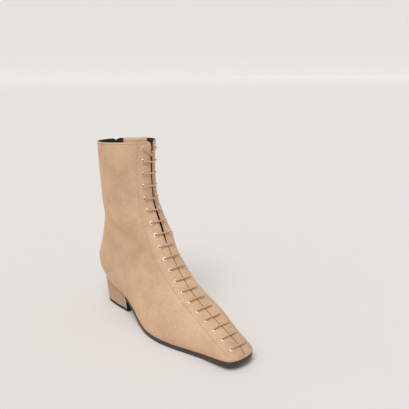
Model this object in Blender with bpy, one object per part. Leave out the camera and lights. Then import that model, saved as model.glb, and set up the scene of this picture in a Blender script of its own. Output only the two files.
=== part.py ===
"""A right-foot lace up ankle boot with a low wrapped heel, a squared toe and a zip on the medial side.

Units are metres in the scene and millimetres in the tables. Toe towards -Y, lateral side at -X, +Z up.
The design frame has u forward from the back of the heel, v towards the medial side and z up.
"""

import math

import bmesh
import bpy
import numpy as np

MM = 0.001

# Where the design frame's u and v lie in the model, so that the origin is under the middle of the boot.
MIDDLE_U = 130.2
MIDDLE_V = -0.42

WALL = 2.0
TOUCH = 0.3

# The last, one row for each section from the collar to the toe tip, in mm.
# ridge is the front and top line, end is the back line and then the feather edge,
# lateral and medial are the greatest half widths, foot_* the half widths at the feather edge,
# zip is how far round the medial side the zip crosses the section, as a share of it.
LAST_COLUMNS = ("ridge_u", "ridge_z", "end_u", "end_z", "lateral", "medial", "foot_lateral", "foot_medial", "zip")
LAST = {
    "collar": (94.4, 240.0, -3.0, 234.0, 36.5, 33.0, 0, 0, 0.593),
    "upper shaft": (96.2, 203.0, -0.5, 196.0, 36.0, 32.5, 0, 0, 0.553),
    "shaft": (99.3, 165.8, 3.2, 157.0, 36.0, 32.5, 0, 0, 0.52),
    "ankle": (105.6, 150.3, 5.2, 137.0, 35.2, 32.5, 0, 0, 0.52),
    "below ankle": (112.0, 138.2, 3.8, 115.0, 35.0, 33.4, 0, 0, 0.505),
    "counter top": (117.0, 129.6, -3.0, 92.0, 34.5, 33.8, 0, 0, 0.467),
    "counter": (120.6, 123.8, -11.8, 66.0, 34.8, 34.0, 0, 0, 0.43),
    "heel bulge": (123.6, 119.0, -11.6, 48.0, 34.3, 33.0, 0, 0, 0.43),
    "seat back": (126.6, 114.6, -2.0, 34.8, 33.3, 31.8, 0, 0, 0.45),
    "seat corner": (129.6, 110.4, 2.6, 34.3, 32.0, 30.5, 16.0, 15.0, 0.465),
    "seat side": (133.5, 105.2, 15.5, 32.7, 31.5, 30.0, 24.2, 23.0, 0.515),
    "seat": (139.0, 98.2, 40.0, 29.0, 32.0, 30.0, 25.8, 24.6, 0.60),
    "breast": (146.5, 89.2, 66.0, 23.4, 33.5, 31.0, 25.5, 23.0, 0.70),
    "waist": (155.5, 79.6, 90.0, 15.2, 36.0, 31.5, 29.0, 22.5, 0.76),
    "arch": (167.0, 69.0, 114.0, 7.6, 39.5, 34.0, 35.0, 27.5, 0.76),
    "lateral ball": (180.5, 59.2, 138.0, 5.6, 42.5, 38.0, 40.5, 33.5, 0.7),
    "ball": (195.0, 51.2, 161.0, 5.5, 42.5, 40.5, 41.0, 38.0, 0.65),
    "medial ball": (210.5, 44.3, 183.0, 5.5, 38.5, 39.8, 37.0, 38.2, 0.6),
    "tread front": (226.5, 38.2, 205.0, 5.7, 32.0, 34.2, 30.5, 33.0, 0.6),
    "toe side": (241.5, 32.6, 226.0, 6.8, 26.3, 27.8, 25.0, 26.5, 0.6),
    "toe": (254.5, 27.0, 244.0, 8.5, 23.4, 25.2, 22.6, 24.6, 0.6),
    "toe corner": (264.5, 21.8, 257.5, 10.1, 21.4, 23.0, 20.9, 22.6, 0.6),
    "toe bend": (270.0, 17.4, 266.5, 11.0, 18.2, 19.4, 17.8, 19.0, 0.6),
    "toe front": (272.0, 13.2, 271.2, 11.4, 10.5, 11.5, 9.7, 10.7, 0.6),
    "toe tip": (272.4, 11.5, 272.4, 11.5, 0, 0, 0, 0, 0.6),
}
SECTION = {name: index for index, name in enumerate(LAST)}
COLUMN = {
    name: np.array([row[index] for row in LAST.values()], float)
    for index, name in enumerate(LAST_COLUMNS)
}
SEAT_BACK = SECTION["seat back"]
BREAST = SECTION["breast"]
TOE_TIP = SECTION["toe tip"]
SIDES = {"lateral": -1, "medial": 1}
# How far the ridge lies to the medial side, in mm by section place.
RIDGE_V = ((0, 9.6), (0.5, 7.2), (1.2, 5.3), (2.4, 5.0), (4.5, 4.2), (5.5, 3.4), (8, 2.5), (22, 2.5), (24, 0))

# The shape of the front half of the sections, as section place and power: 1 is an ellipse, less is blunter, and more
# comes to a fold at the throat.
BLUNTNESS = {
    "lateral": ((0, 1.6), (3, 1.6), (5, 1.0), (7, 0.8), (13, 0.8), (16, 0.85), (20, 0.9), (24, 1.0)),
    "medial": ((0, 2.4), (1.5, 2.6), (3, 1.9), (4.5, 1.2), (6, 0.7), (9, 0.66), (13, 0.75), (16, 0.85), (20, 0.9),
               (24, 1.0)),
}
# The shape of the back half, which rounds the heel's counter.
BACK_BLUNTNESS = ((0, 0.93), (3, 0.95), (5, 0.7), (6, 0.56), (8, 0.56), (10, 0.72), (13, 0.95), (14, 1.0))

# Cells of the upper's mesh from the throat to the eyelet line, the stitch line, the zip, across it, and on to the end.
UPPER_CELLS = (2, 1, 3, 1, 4)

# The throat: open from the collar to its foot, then a closed seam.
THROAT_GAP = ((0, 2.7), (0.6, 2.6), (1.3, 2.0), (4, 1.9), (8.4, 0.7))
THROAT_FOOT = 8.5

# The zip slot: half width in mm at the collar and below the slider, and the section where it ends.
ZIP_HALF_TOP = 5.2
ZIP_HALF_LOW = 2.9
ZIP_FOOT = 12.0
ZIP_TAPE_DEPTH = WALL + 0.9
ZIP_TAPE_THICK = 0.7

# The slider and its pull, in mm: across the zip, along it and out from it.
SLIDER_PLACE = 0.34
SLIDER_HALF_TOP = 4.0
SLIDER_HALF_FOOT = 3.2
SLIDER_LONG = 14.0
SLIDER_FACE = 1.0
LUG_WIDE = 1.2
LUG_LONG = 3.2
LUG_OFF = 2.3
PIN_OUT = 3.0
PIN_RADIUS = 0.6
PIN_SIDES = 8
PULL_EYE_HOLE = 0.9
PULL_EYE = 1.6
PULL_HALF = 2.3
PULL_LONG = 17.0
PULL_THICK = 1.0

# Eyelets: section numbers come from the spacing along the ridge.
EYELET_PAIRS = 19
EYELET_PITCH = 16.2
FIRST_EYELET_DOWN = 8.7
EYELET_OFF_RIDGE = 10.9
STITCH_OFF_RIDGE = 20.5
EYELET_OUTER = 2.7
EYELET_HOLE = 1.55
EYELET_HEIGHT = 0.6
EYELET_SIDES = 8

LACE_RADIUS = 1.0
LACE_SIDES = 5
LACE_BEND = 1.5
STRAIGHT_ENOUGH = 0.8
LACE_OVER = EYELET_HEIGHT + 3 * TOUCH + LACE_RADIUS + 0.2
LACE_UNDER = WALL + LACE_RADIUS + 0.7
LACE_END_RADIUS = 1.0
# How far to the lateral side of the ridge the lace's ends go in between the throat's lips.
BETWEEN_LIPS = 0.35

TONGUE_DEPTH = 5.0
TONGUE_THICK = 1.6

SOLE_LIP = 0.8
SOLE_THICK = 5.2
WAIST_THICK = 3.6
INSOLE_INSET = 3.6
INSOLE_THICK = 2.2
TOP_PIECE_THICK = 4.2
HEEL_BOTTOM_BACK = 2.5
HEEL_BOTTOM_FRONT = 67.3
HEEL_BOTTOM_SHARE = 0.93
BREAST_HOLLOW = 4.0

COLOURS = {
    "suede": ((0.61, 0.41, 0.25), 0.95, 0.0),
    "lace": ((0.55, 0.31, 0.15), 0.9, 0.0),
    "sole": ((0.045, 0.027, 0.023), 0.55, 0.0),
    "rubber": ((0.02, 0.018, 0.018), 0.6, 0.0),
    "lining": ((0.03, 0.024, 0.026), 0.85, 0.0),
    "nickel": ((0.75, 0.73, 0.71), 0.3, 1.0),
    "tape": ((0.30, 0.22, 0.17), 0.9, 0.0),
}


def clear_scene():
    for item in list(bpy.data.objects):
        bpy.data.objects.remove(item)


def material(name):
    """The Principled material of that name, made once."""
    found = bpy.data.materials.get(name)
    if found:
        return found
    colour, roughness, metallic = COLOURS[name]
    made = bpy.data.materials.new(name)
    made.use_nodes = True
    shader = made.node_tree.nodes["Principled BSDF"]
    shader.inputs["Base Color"].default_value = (*colour, 1)
    shader.inputs["Roughness"].default_value = roughness
    shader.inputs["Metallic"].default_value = metallic
    return made


def to_model(points):
    """Design points (u, v, z) in mm as model points in metres."""
    points = np.asarray(points, float)
    u, v, z = points[..., 0], points[..., 1], points[..., 2]
    return np.stack([v - MIDDLE_V, MIDDLE_U - u, z], -1) * MM


def solid(name, points, faces, finish, smooth_angle=40):
    """A closed mesh object from design points and faces, with doubled points merged and normals outward."""
    mesh = bpy.data.meshes.new(name)
    mesh.from_pydata([tuple(p) for p in to_model(points)], [], [list(f) for f in faces])
    work = bmesh.new()
    work.from_mesh(mesh)
    bmesh.ops.remove_doubles(work, verts=work.verts, dist=0.00001)
    bmesh.ops.recalc_face_normals(work, faces=work.faces)
    work.to_mesh(mesh)
    work.free()
    mesh.materials.append(material(finish))
    mesh.shade_smooth()
    mesh.set_sharp_from_angle(angle=math.radians(smooth_angle))
    made = bpy.data.objects.new(name, mesh)
    bpy.context.collection.objects.link(made)
    return made


def between(values, t):
    """Catmull-Rom through the values, at places t counted in rows, straight past both ends."""
    values = np.asarray(values, float)
    padded = np.concatenate([[2 * values[0] - values[1]], values, [2 * values[-1] - values[-2]]])
    t = np.asarray(t, float)
    row = np.clip(np.floor(t).astype(int), 0, len(values) - 2)
    f = t - row
    a, b, c, d = (padded[row + k] for k in range(4))
    curved = b + 0.5 * f * (c - a + f * (2 * a - 5 * b + 4 * c - d + f * (3 * (b - c) + d - a)))
    return np.where(t < 0, values[0] + t * (values[1] - values[0]), curved)


def column(name, t):
    """A column of the last at places t. The end line has a corner at the seat's back, and the feather edge is round there."""
    t = np.asarray(t, float)
    values = COLUMN[name]
    if name in ("end_u", "end_z"):
        back = between(values[: SEAT_BACK + 1], np.minimum(t, SEAT_BACK))
        feather = between(values[SEAT_BACK:], np.maximum(t, SEAT_BACK) - SEAT_BACK)
        return np.where(t <= SEAT_BACK, back, feather)
    if name.startswith("foot"):
        squared = between(values[SEAT_BACK:] ** 2, np.maximum(t, SEAT_BACK) - SEAT_BACK)
        return np.sqrt(np.maximum(squared, 0))
    return between(values, t)


def feather(t, side):
    """The feather edge at t: where the wall meets the sole."""
    sign = SIDES[side]
    return np.stack([column("end_u", t), sign * column("foot_" + side, t), column("end_z", t)], -1)


def end_angle(t, side):
    """The angle at which the section reaches its end line, from 180 degrees at the back to about 110 in the forepart."""
    ratio = column("foot_" + side, t) / np.maximum(column(side, t), 0.01)
    return math.pi - np.arcsin(np.clip(ratio, 0, 0.985) ** (1 / bluntness(t, BACK_BLUNTNESS)))


def surface(t, side, angle):
    """The outer surface of the upper. Each section is rounded by its power, from the ridge at angle 0 to the end line."""
    t, angle = np.broadcast_arrays(np.asarray(t, float), np.asarray(angle, float))
    share = (1 - np.cos(angle)) / (1 - np.cos(end_angle(t, side)))
    ridge_u, ridge_z = column("ridge_u", t), column("ridge_z", t)
    u = ridge_u + (column("end_u", t) - ridge_u) * share
    z = ridge_z + (column("end_z", t) - ridge_z) * share
    centre = ridge_v(t) * (1 - share)
    rise = np.sin(angle)
    power = np.where(angle < math.pi / 2, bluntness(t, BLUNTNESS[side]), bluntness(t, BACK_BLUNTNESS))
    half = column(side, t) * np.sign(rise) * np.abs(rise) ** power
    return np.stack([u, centre + SIDES[side] * half, z], -1)


def bluntness(t, table):
    """The power that fills out a half of the section at t."""
    places, powers = zip(*table)
    return np.interp(t, places, powers)


def ridge_v(t):
    """The ridge runs a little to the medial side, and comes back to the middle at the toe tip."""
    places, shifts = zip(*RIDGE_V)
    return np.interp(t, places, shifts)


def angle_of_share(t, side, share):
    return np.arccos(np.clip(1 - share * (1 - np.cos(end_angle(t, side))), -1, 1))


def angle_of_offset(t, side, offset):
    """The angle at which the surface lies that many mm off the ridge."""
    ratio = np.clip(offset / np.maximum(column(side, t), 0.01), 0, 1)
    return np.arcsin(ratio ** (1 / bluntness(t, BLUNTNESS[side])))


def outward(t, side, angle):
    """The outward unit normal of the surface."""
    step = 0.004
    along = surface(t + step, side, angle) - surface(t - step, side, angle)
    across = surface(t, side, angle + step) - surface(t, side, angle - step)
    normal = np.cross(along, across) * SIDES[side]
    length = np.linalg.norm(normal, axis=-1, keepdims=True)
    return normal / np.maximum(length, 1e-9)


def zip_edges(t):
    """The two angles of the zip slot's edges, front one first. Past the slot's foot they are only columns of the mesh."""
    span = np.hypot(column("end_u", t) - column("ridge_u", t), column("end_z", t) - column("ridge_z", t))
    wide = np.clip((np.asarray(t, float) - 0.45) / 0.5, 0, 1)
    half = (ZIP_HALF_TOP + (ZIP_HALF_LOW - ZIP_HALF_TOP) * wide) / np.maximum(span, 20)
    middle = column("zip", t)
    return angle_of_share(t, "medial", middle - half), angle_of_share(t, "medial", middle + half)


def columns_of(t, side, throat):
    """Angles from the throat edge to the end line, with columns on the eyelet line, on the stitch line outside it and,
    on the medial side, on the zip's edges."""
    start = angle_of_offset(t, side, throat)
    end = end_angle(t, side)
    if side == "medial":
        front, back = zip_edges(t)
    else:
        front, back = start + 0.42 * (end - start), start + 0.52 * (end - start)
    eyelets = np.minimum(angle_of_offset(t, side, EYELET_OFF_RIDGE), start + 0.35 * (front - start))
    stitches = np.minimum(angle_of_offset(t, side, STITCH_OFF_RIDGE), start + 0.65 * (front - start))
    stops = [start, eyelets, stitches, front, back, end]
    angles = []
    for number, low, high in zip(UPPER_CELLS, stops, stops[1:]):
        angles += [low + (high - low) * k / number for k in range(number)]
    return np.array([*angles, end])


def throat_gap(t):
    """Half the gap between the facings in mm. Past the throat's foot it is the width of the seam's flat."""
    places, halves = zip(*THROAT_GAP)
    return np.interp(t, places, halves) * min(1, (TOE_TIP - t) / 3)


def upper_places():
    """The section places that carry the upper's rows."""
    shaft = [0, 0.25, 0.5, 0.75, 1, 1.33, 1.67, 2]
    middle = [k / 2 for k in range(5, 2 * SEAT_BACK)]
    seat = [SEAT_BACK, SEAT_BACK + 0.2, SEAT_BACK + 0.5]
    waist = [k / 2 for k in range(2 * SEAT_BACK + 2, 2 * BREAST)]
    fore = list(range(BREAST, SECTION["toe side"]))
    toe = [k / 2 for k in range(2 * SECTION["toe side"], 2 * TOE_TIP + 1)]
    return np.array(shaft + middle + seat + waist + fore + toe)


def upper_grid(depth, places):
    """Points of the upper at that depth inside its surface: rows from the collar to the toe, columns from the lateral
    end line across the throat to the medial one."""
    rows = []
    for t in places:
        gap = throat_gap(t)
        row = []
        for side in SIDES:
            angles = columns_of(t, side, gap)
            points = surface(t, side, angles)
            normals = outward(t, side, angles)
            if t <= SEAT_BACK:
                normals[-1, 1] = 0
            else:
                normals[-1, 2] = min(normals[-1, 2], -0.15)
            normals[-1] /= np.linalg.norm(normals[-1])
            if t > TOE_TIP - 0.01:
                normals[:] = (1, 0, 0)
            points = points - depth * normals
            row.append(points[::-1] if side == "lateral" else points)
        if t <= SEAT_BACK:
            row[0][0] = row[1][-1] = (row[0][0] + row[1][-1]) / 2
        rows.append(np.concatenate(row))
    return np.array(rows)


def make_upper():
    """The hollow upper: outer and inner skins, joined round the collar, the throat, the zip slot and the feather edge."""
    places = upper_places()
    outer, inner = upper_grid(0, places), upper_grid(WALL, places)
    rows, cols = outer.shape[:2]
    points = np.concatenate([outer.reshape(-1, 3), inner.reshape(-1, 3)])
    number = np.arange(2 * rows * cols).reshape(2, rows, cols)
    middle = cols // 2
    zip_column = middle + sum(UPPER_CELLS[:3])

    def open_cell(i, j):
        """Whether the cell between row i and i + 1, column j and j + 1, is cut away."""
        place = (places[i] + places[i + 1]) / 2
        in_throat = j == middle - 1 and place < THROAT_FOOT
        in_zip = j == zip_column and place < ZIP_FOOT
        return in_throat or in_zip

    def wall(i, j, k, m):
        """The thickness face between grid points (i, j) and (k, m)."""
        return [number[0, i, j], number[0, k, m], number[1, k, m], number[1, i, j]]

    faces = []
    for i in range(rows - 1):
        for j in range(cols - 1):
            if open_cell(i, j):
                continue
            for skin in number:
                faces.append([skin[i, j], skin[i, j + 1], skin[i + 1, j + 1], skin[i + 1, j]])
            if i == 0 or open_cell(i - 1, j):
                faces.append(wall(i, j, i, j + 1))
            if i + 2 < rows and open_cell(i + 1, j):
                faces.append(wall(i + 1, j, i + 1, j + 1))
            if j and open_cell(i, j - 1):
                faces.append(wall(i, j, i + 1, j))
            if j + 2 < cols and open_cell(i, j + 1):
                faces.append(wall(i, j + 1, i + 1, j + 1))
        if places[i] >= SEAT_BACK:
            faces.append(wall(i, 0, i + 1, 0))
            faces.append(wall(i, cols - 1, i + 1, cols - 1))
    faces = [list(dict.fromkeys(face)) for face in faces]
    upper = solid("upper", points, faces, "suede")
    cut_eyelet_holes(upper)
    return upper


def eyelet_places():
    """The section place of each pair of eyelets, at even steps along the ridge."""
    places = np.linspace(0, TOE_TIP, 1200)
    u, z = column("ridge_u", places), column("ridge_z", places)
    run = np.concatenate([[0], np.cumsum(np.hypot(np.diff(u), np.diff(z)))])
    wanted = FIRST_EYELET_DOWN + EYELET_PITCH * np.arange(EYELET_PAIRS)
    return np.interp(wanted, run, places)


def eyelet_spot(t, side):
    """The point on the surface at an eyelet's middle, with the normal there."""
    angle = angle_of_offset(t, side, EYELET_OFF_RIDGE)
    return surface(t, side, angle), outward(t, side, angle)


def frame_on(normal, forward):
    """Two unit vectors across the normal, the first one near forward."""
    first = forward - normal * (forward @ normal)
    first = first / np.linalg.norm(first)
    return first, np.cross(normal, first)


def turned(name, centre, normal, profile, sides, finish):
    """A ring: the closed profile of (radius, height) points turned about the normal through the centre."""
    first, second = frame_on(normal, np.array([0.3, 0.1, 1.0]))
    points, faces = [], []
    for k in range(sides):
        angle = 2 * math.pi * k / sides
        spoke = math.cos(angle) * first + math.sin(angle) * second
        points += [centre + radius * spoke + height * normal for radius, height in profile]
    count = len(profile)
    for k in range(sides):
        here, there = k * count, (k + 1) % sides * count
        for m in range(count):
            n = (m + 1) % count
            faces.append([here + m, here + n, there + n, there + m])
    return solid(name, np.array(points), faces, finish)


def cut_eyelet_holes(upper):
    """Holes through both facings, one under each eyelet, cut by one joined cutter of short posts."""
    points, faces = [], []
    for t in eyelet_places():
        for side in SIDES:
            centre, normal = eyelet_spot(t, side)
            first, second = frame_on(normal, np.array([0.3, 0.1, 1.0]))
            start = len(points)
            for height in (-WALL - 1.5, 1.5):
                for k in range(EYELET_SIDES):
                    angle = 2 * math.pi * k / EYELET_SIDES
                    spoke = math.cos(angle) * first + math.sin(angle) * second
                    points.append(centre + EYELET_HOLE * spoke + height * normal)
            low = list(range(start, start + EYELET_SIDES))
            high = [k + EYELET_SIDES for k in low]
            faces += [low[::-1], high]
            for k in range(EYELET_SIDES):
                n = (k + 1) % EYELET_SIDES
                faces.append([low[k], low[n], high[n], high[k]])
    cutter = solid("eyelet_hole_cutter", np.array(points), faces, "suede")
    cutter.hide_render = True
    cutter.display_type = "WIRE"
    cut = upper.modifiers.new("eyelet holes", "BOOLEAN")
    cut.operation = "DIFFERENCE"
    cut.object = cutter


def make_eyelets():
    low, high = TOUCH, TOUCH + EYELET_HEIGHT
    profile = [(EYELET_HOLE, low), (EYELET_OUTER, low), ((EYELET_HOLE + EYELET_OUTER) / 2, high)]
    for number, t in enumerate(eyelet_places(), 1):
        for side in SIDES:
            centre, normal = eyelet_spot(t, side)
            turned(f"eyelet_{side}_{number:02d}", centre, normal, profile, EYELET_SIDES, "nickel")


def tube(name, route, radius, sides, finish):
    """A closed tube along the route, its rings turned as little as possible from one to the next."""
    route = np.asarray(route, float)
    tangents = np.gradient(route, axis=0)
    steps = np.diff(route, axis=0)
    steps = steps / np.linalg.norm(steps, axis=1, keepdims=True)
    tangents[1:-1] = steps[1:] + steps[:-1]
    tangents = tangents / np.linalg.norm(tangents, axis=1, keepdims=True)
    across = np.cross(tangents[0], (0.2, 0.3, 1.0))
    points, faces = [], []
    for centre, tangent in zip(route, tangents):
        across = across - tangent * (across @ tangent)
        across = across / np.linalg.norm(across)
        other = np.cross(tangent, across)
        for k in range(sides):
            angle = 2 * math.pi * k / sides
            points.append(centre + radius * (math.cos(angle) * across + math.sin(angle) * other))
    for ring in range(len(route) - 1):
        for k in range(sides):
            n = (k + 1) % sides
            here, there = ring * sides, (ring + 1) * sides
            faces.append([here + k, here + n, there + n, there + k])
    faces.append(list(range(sides))[::-1])
    faces.append([len(points) - sides + k for k in range(sides)])
    return solid(name, np.array(points), faces, finish)


def bend(corner, before, after, radius, steps):
    """Points round the corner from the direction before to the direction after, on an arc of that radius."""
    angle = math.acos(float(np.clip(before @ after, -1, 1)))
    back = radius * math.tan(angle / 2)
    inward = after - before * (before @ after)
    inward = inward / np.linalg.norm(inward)
    start = corner - back * before
    centre = start + radius * inward
    points = []
    for k in range(steps + 1):
        turn = angle * k / steps
        points.append(centre - radius * math.cos(turn) * inward + radius * math.sin(turn) * before)
    return points


def rounded(corners, radius=LACE_BEND, steps=2):
    """A route through the corners, each turned on an arc."""
    corners = [np.asarray(c, float) for c in corners]
    route = [corners[0]]
    for last, corner, following in zip(corners, corners[1:], corners[2:]):
        before = (corner - last) / np.linalg.norm(corner - last)
        after = (following - corner) / np.linalg.norm(following - corner)
        if before @ after > STRAIGHT_ENOUGH:
            route.append(corner)
        else:
            route += bend(corner, before, after, radius, steps)
    return [*route, corners[-1]]


def over_and_under(t, side):
    """The lace's two corners at an eyelet: above the ring and behind the facing."""
    centre, normal = eyelet_spot(t, side)
    return centre + LACE_OVER * normal, centre - LACE_UNDER * normal


def bar_middle(t):
    """The point where a bar crosses the ridge."""
    ridge = surface(t, "lateral", 0.0)
    normal = outward(t, "lateral", 0.02)
    normal[1] = 0
    return ridge + LACE_OVER * normal


def lace_corners():
    """The lace from the toe to the second pair: over a bar, through the facing, up behind it and over the next bar."""
    places = list(eyelet_places())[::-1]
    corners = []
    for count, t in enumerate(places[:-1]):
        first, second = ("lateral", "medial") if count % 2 == 0 else ("medial", "lateral")
        first_over, first_under = over_and_under(t, first)
        second_over, second_under = over_and_under(t, second)
        if count == 0:
            inside = first_under + 2.0 * (first_under - first_over) / LACE_UNDER
            corners.append(inside)
        else:
            corners.append(first_under)
        corners += [first_over, bar_middle(t), second_over, second_under]
    return corners


def make_lace():
    """The bars and hidden runs as one solid, and the two ends that leave the top eyelets."""
    corners = lace_corners()
    top, second = eyelet_places()[:2]
    under_top = over_and_under(top, "lateral")[1]
    last = corners[-1]
    upward = (under_top - last) / np.linalg.norm(under_top - last)
    corners.append(last + 4.0 * upward)
    tube("lace", rounded(corners), LACE_RADIUS, LACE_SIDES, "lace")
    cord("lace_end_lateral", lace_end_route("lateral"))
    cord("lace_end_medial", lace_end_route("medial"))


def lace_end_route(side):
    """From behind the second eyelet up and out of the top one, down across the facing and in through the throat."""
    top, second = eyelet_places()[:2]
    over, under = over_and_under(top, side)
    start = over_and_under(second, side)[1]
    upward = (under - start) / np.linalg.norm(under - start)
    lip_t = top + (0.27 if side == "lateral" else 0.13)
    lip = surface(lip_t, side, angle_of_offset(lip_t, side, 0.0))
    inside = lip + np.array([-12.0, -BETWEEN_LIPS, -2.0])
    lip = lip + np.array([LACE_OVER, -BETWEEN_LIPS, 0.0])
    return rounded([start + 4.4 * upward, under, over, lip, inside], radius=LACE_BEND, steps=4)


def cord(name, route):
    """A plain round tube as a curve with filled caps."""
    curve = bpy.data.curves.new(name, "CURVE")
    curve.dimensions = "3D"
    curve.bevel_depth = LACE_END_RADIUS * MM
    curve.bevel_resolution = 2
    curve.use_fill_caps = True
    spline = curve.splines.new("POLY")
    points = to_model(route)
    spline.points.add(len(points) - 1)
    for point, place in zip(spline.points, points):
        point.co = (*place, 1)
    curve.materials.append(material("lace"))
    made = bpy.data.objects.new(name, curve)
    bpy.context.collection.objects.link(made)
    return made


def make_tongue():
    """A strip behind the lateral facing, its top above the collar, slipped towards the lateral side."""
    places = np.array([-0.135, 0, 0.25, 0.5, 0.75, 1, 1.33, 1.67, 2, 2.5, 3, 3.5, 4, 4.5, 5, 5.5, 6])
    wide = np.linspace(0, 1, 7)
    grids = []
    for depth in (TONGUE_DEPTH, TONGUE_DEPTH + TONGUE_THICK):
        rows = []
        for t in places:
            lean = max(0.0, 1 - (t + 0.135) / 1.2)
            inner_edge = -6.5 + 10.0 * np.clip((t - 3) / 2.5, 0, 1)
            outer_edge = -30.0 + 8.0 * np.clip((t - 2) / 4, 0, 1)
            row = []
            for share in wide:
                offset = outer_edge + (inner_edge - outer_edge) * share
                side = "lateral" if offset < 0 else "medial"
                angle = angle_of_offset(t, side, abs(offset))
                point = surface(t, side, angle) - (depth + 3.0 * lean**2) * outward(t, side, angle)
                row.append(point)
            rows.append(row)
        grids.append(rows)
    points = np.array(grids)
    return sheet("tongue", points, "suede")


def sheet(name, points, finish):
    """A closed sheet between two grids of points."""
    _, rows, cols, _ = points.shape
    number = np.arange(2 * rows * cols).reshape(2, rows, cols)
    faces = []
    for skin in number:
        for i in range(rows - 1):
            for j in range(cols - 1):
                faces.append([skin[i, j], skin[i, j + 1], skin[i + 1, j + 1], skin[i + 1, j]])
    rim = [(0, j) for j in range(cols)]
    rim += [(i, cols - 1) for i in range(1, rows)]
    rim += [(rows - 1, j) for j in range(cols - 2, -1, -1)]
    rim += [(i, 0) for i in range(rows - 2, 0, -1)]
    for here, there in zip(rim, rim[1:] + rim[:1]):
        faces.append([number[0][here], number[0][there], number[1][there], number[1][here]])
    return solid(name, points.reshape(-1, 3), faces, finish)


def strip_solid(name, levels, finish):
    """A solid from levels, each a list of (lateral, medial) points at the same stations, closed across at both ends."""
    stations = len(levels[0])
    points = np.array([[pair for pair in level] for level in levels])
    number = np.arange(points.shape[0] * stations * 2).reshape(points.shape[0], stations, 2)
    faces = []
    for level in (number[0], number[-1]):
        for i in range(stations - 1):
            faces.append([level[i, 0], level[i, 1], level[i + 1, 1], level[i + 1, 0]])
    for upper, lower in zip(number, number[1:]):
        for i in range(stations - 1):
            for edge in (0, 1):
                faces.append([upper[i, edge], upper[i + 1, edge], lower[i + 1, edge], lower[i, edge]])
        for end in (0, stations - 1):
            faces.append([upper[end, 0], upper[end, 1], lower[end, 1], lower[end, 0]])
    return solid(name, points.reshape(-1, 3), faces, finish)


def inset_edge(places, inset):
    """Feather edge points of both sides moved inwards in plan, as (lateral, medial) pairs with their heights."""
    pairs = []
    for side, sign in SIDES.items():
        edge = feather(places, side)
        step = 0.02
        ahead = feather(np.minimum(places + step, TOE_TIP), side)
        behind = feather(np.maximum(places - step, SEAT_BACK), side)
        along = (ahead - behind)[:, :2]
        along = along / np.linalg.norm(along, axis=1, keepdims=True)
        inward = np.stack([sign * along[:, 1], -sign * along[:, 0]], -1)
        moved = edge.copy()
        moved[:, :2] += inset * inward
        moved[:, 1] = sign * np.maximum(sign * moved[:, 1], 0)
        pairs.append(moved)
    return np.stack(pairs, 1)


def edge_places(first, last):
    """The upper's own rows along the feather edge, so that what meets the wall has its corners where the wall has."""
    places = upper_places()
    return places[(places >= first) & (places <= last)]


def make_insole():
    places = edge_places(SEAT_BACK, SECTION["toe corner"])
    low = inset_edge(places, INSOLE_INSET)
    high = low.copy()
    high[..., 2] += INSOLE_THICK
    return strip_solid("insole", [high, low], "lining")


def sole_bottom(u, top):
    """Underside height: thin under the waist, flat on the ground at the ball, rising at the toe."""
    waist = np.clip((112.0 - u) / 46.0, 0, 1)
    thick = SOLE_THICK + (WAIST_THICK - SOLE_THICK) * waist
    flat = (u > 132.0) & (u < 206.0)
    return np.where(flat, 0.0, np.maximum(top - thick, 0.0))


def make_outsole():
    """From the breast to the toe tip, with its edge stepped out under the forepart."""
    places = edge_places(BREAST, TOE_TIP)
    levels = []
    for share, inset in ((0.0, -0.5), (0.12, -1.0), (0.8, -1.0), (1.0, -0.1)):
        level = inset_edge(places, inset * SOLE_LIP)
        u = column("end_u", places)
        top = column("end_z", places) - TOUCH
        bottom = sole_bottom(u, top)
        level[..., 2] = (top + (bottom - top) * share)[:, None]
        levels.append(level)
    return strip_solid("outsole", levels, "sole")


def heel_station(places, share):
    """One level of the heel, from the seat at share 0 to the floor at share 1."""
    seat = inset_edge(places, TOUCH)
    seat[..., 2] -= TOUCH
    floor = seat.copy()
    back, front = column("end_u", SEAT_BACK), column("end_u", BREAST)
    floor[..., 0] = HEEL_BOTTOM_BACK + (seat[..., 0] - back) * (HEEL_BOTTOM_FRONT - HEEL_BOTTOM_BACK) / (front - back)
    floor[..., 1] = seat[..., 1] * HEEL_BOTTOM_SHARE
    floor[..., 2] = 0
    level = seat + (floor - seat) * share
    level[-1, :, 0] -= TOUCH
    lower = np.clip((share - 0.2) / 0.8, 0, 1)
    level[-1, :, 0] -= BREAST_HOLLOW * math.sin(math.pi * lower) ** 0.8
    return level


def make_heel():
    places = edge_places(SEAT_BACK, BREAST)
    seat_height = column("end_z", places)
    top_share = 1 - (TOP_PIECE_THICK + TOUCH) / seat_height
    levels = []
    for share in (0.0, 0.12, 0.2, 0.4, 0.6, 0.8, 1.0):
        level = heel_station(places, share * top_share.mean())
        if share == 1.0:
            level[..., 2] = TOP_PIECE_THICK + TOUCH
        levels.append(level)
    strip_solid("heel_block", levels, "suede")
    top = heel_station(places, 1 - TOP_PIECE_THICK / 30)
    top[..., 2] = TOP_PIECE_THICK
    bottom = heel_station(places, 1.0)
    strip_solid("heel_top_piece", [top, bottom], "rubber")


def make_zip_tape():
    """The closed tape behind the slot, just inside the wall."""
    places = np.array([0.3, 0.5, 0.75, 1, 1.33, 1.67, 2, 2.5, 3, 3.5, 4, 4.5, 5, 5.5, 6, 6.5, 7, 7.5, 8, 8.5,
                       9, 9.5, 10, 10.5, 11, 11.5, 12, 12.3])
    grids = []
    for depth in (ZIP_TAPE_DEPTH, ZIP_TAPE_DEPTH + ZIP_TAPE_THICK):
        rows = []
        for t in places:
            span = math.hypot(column("end_u", t) - column("ridge_u", t), column("end_z", t) - column("ridge_z", t))
            row = []
            for off in (-8.0, -4.0, 0.0, 4.0, 8.0):
                angle = angle_of_share(t, "medial", column("zip", t) + off / span)
                row.append(surface(t, "medial", angle) - depth * outward(t, "medial", angle))
            rows.append(row)
        grids.append(rows)
    return sheet("zip_tape", np.array(grids), "tape")


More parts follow.
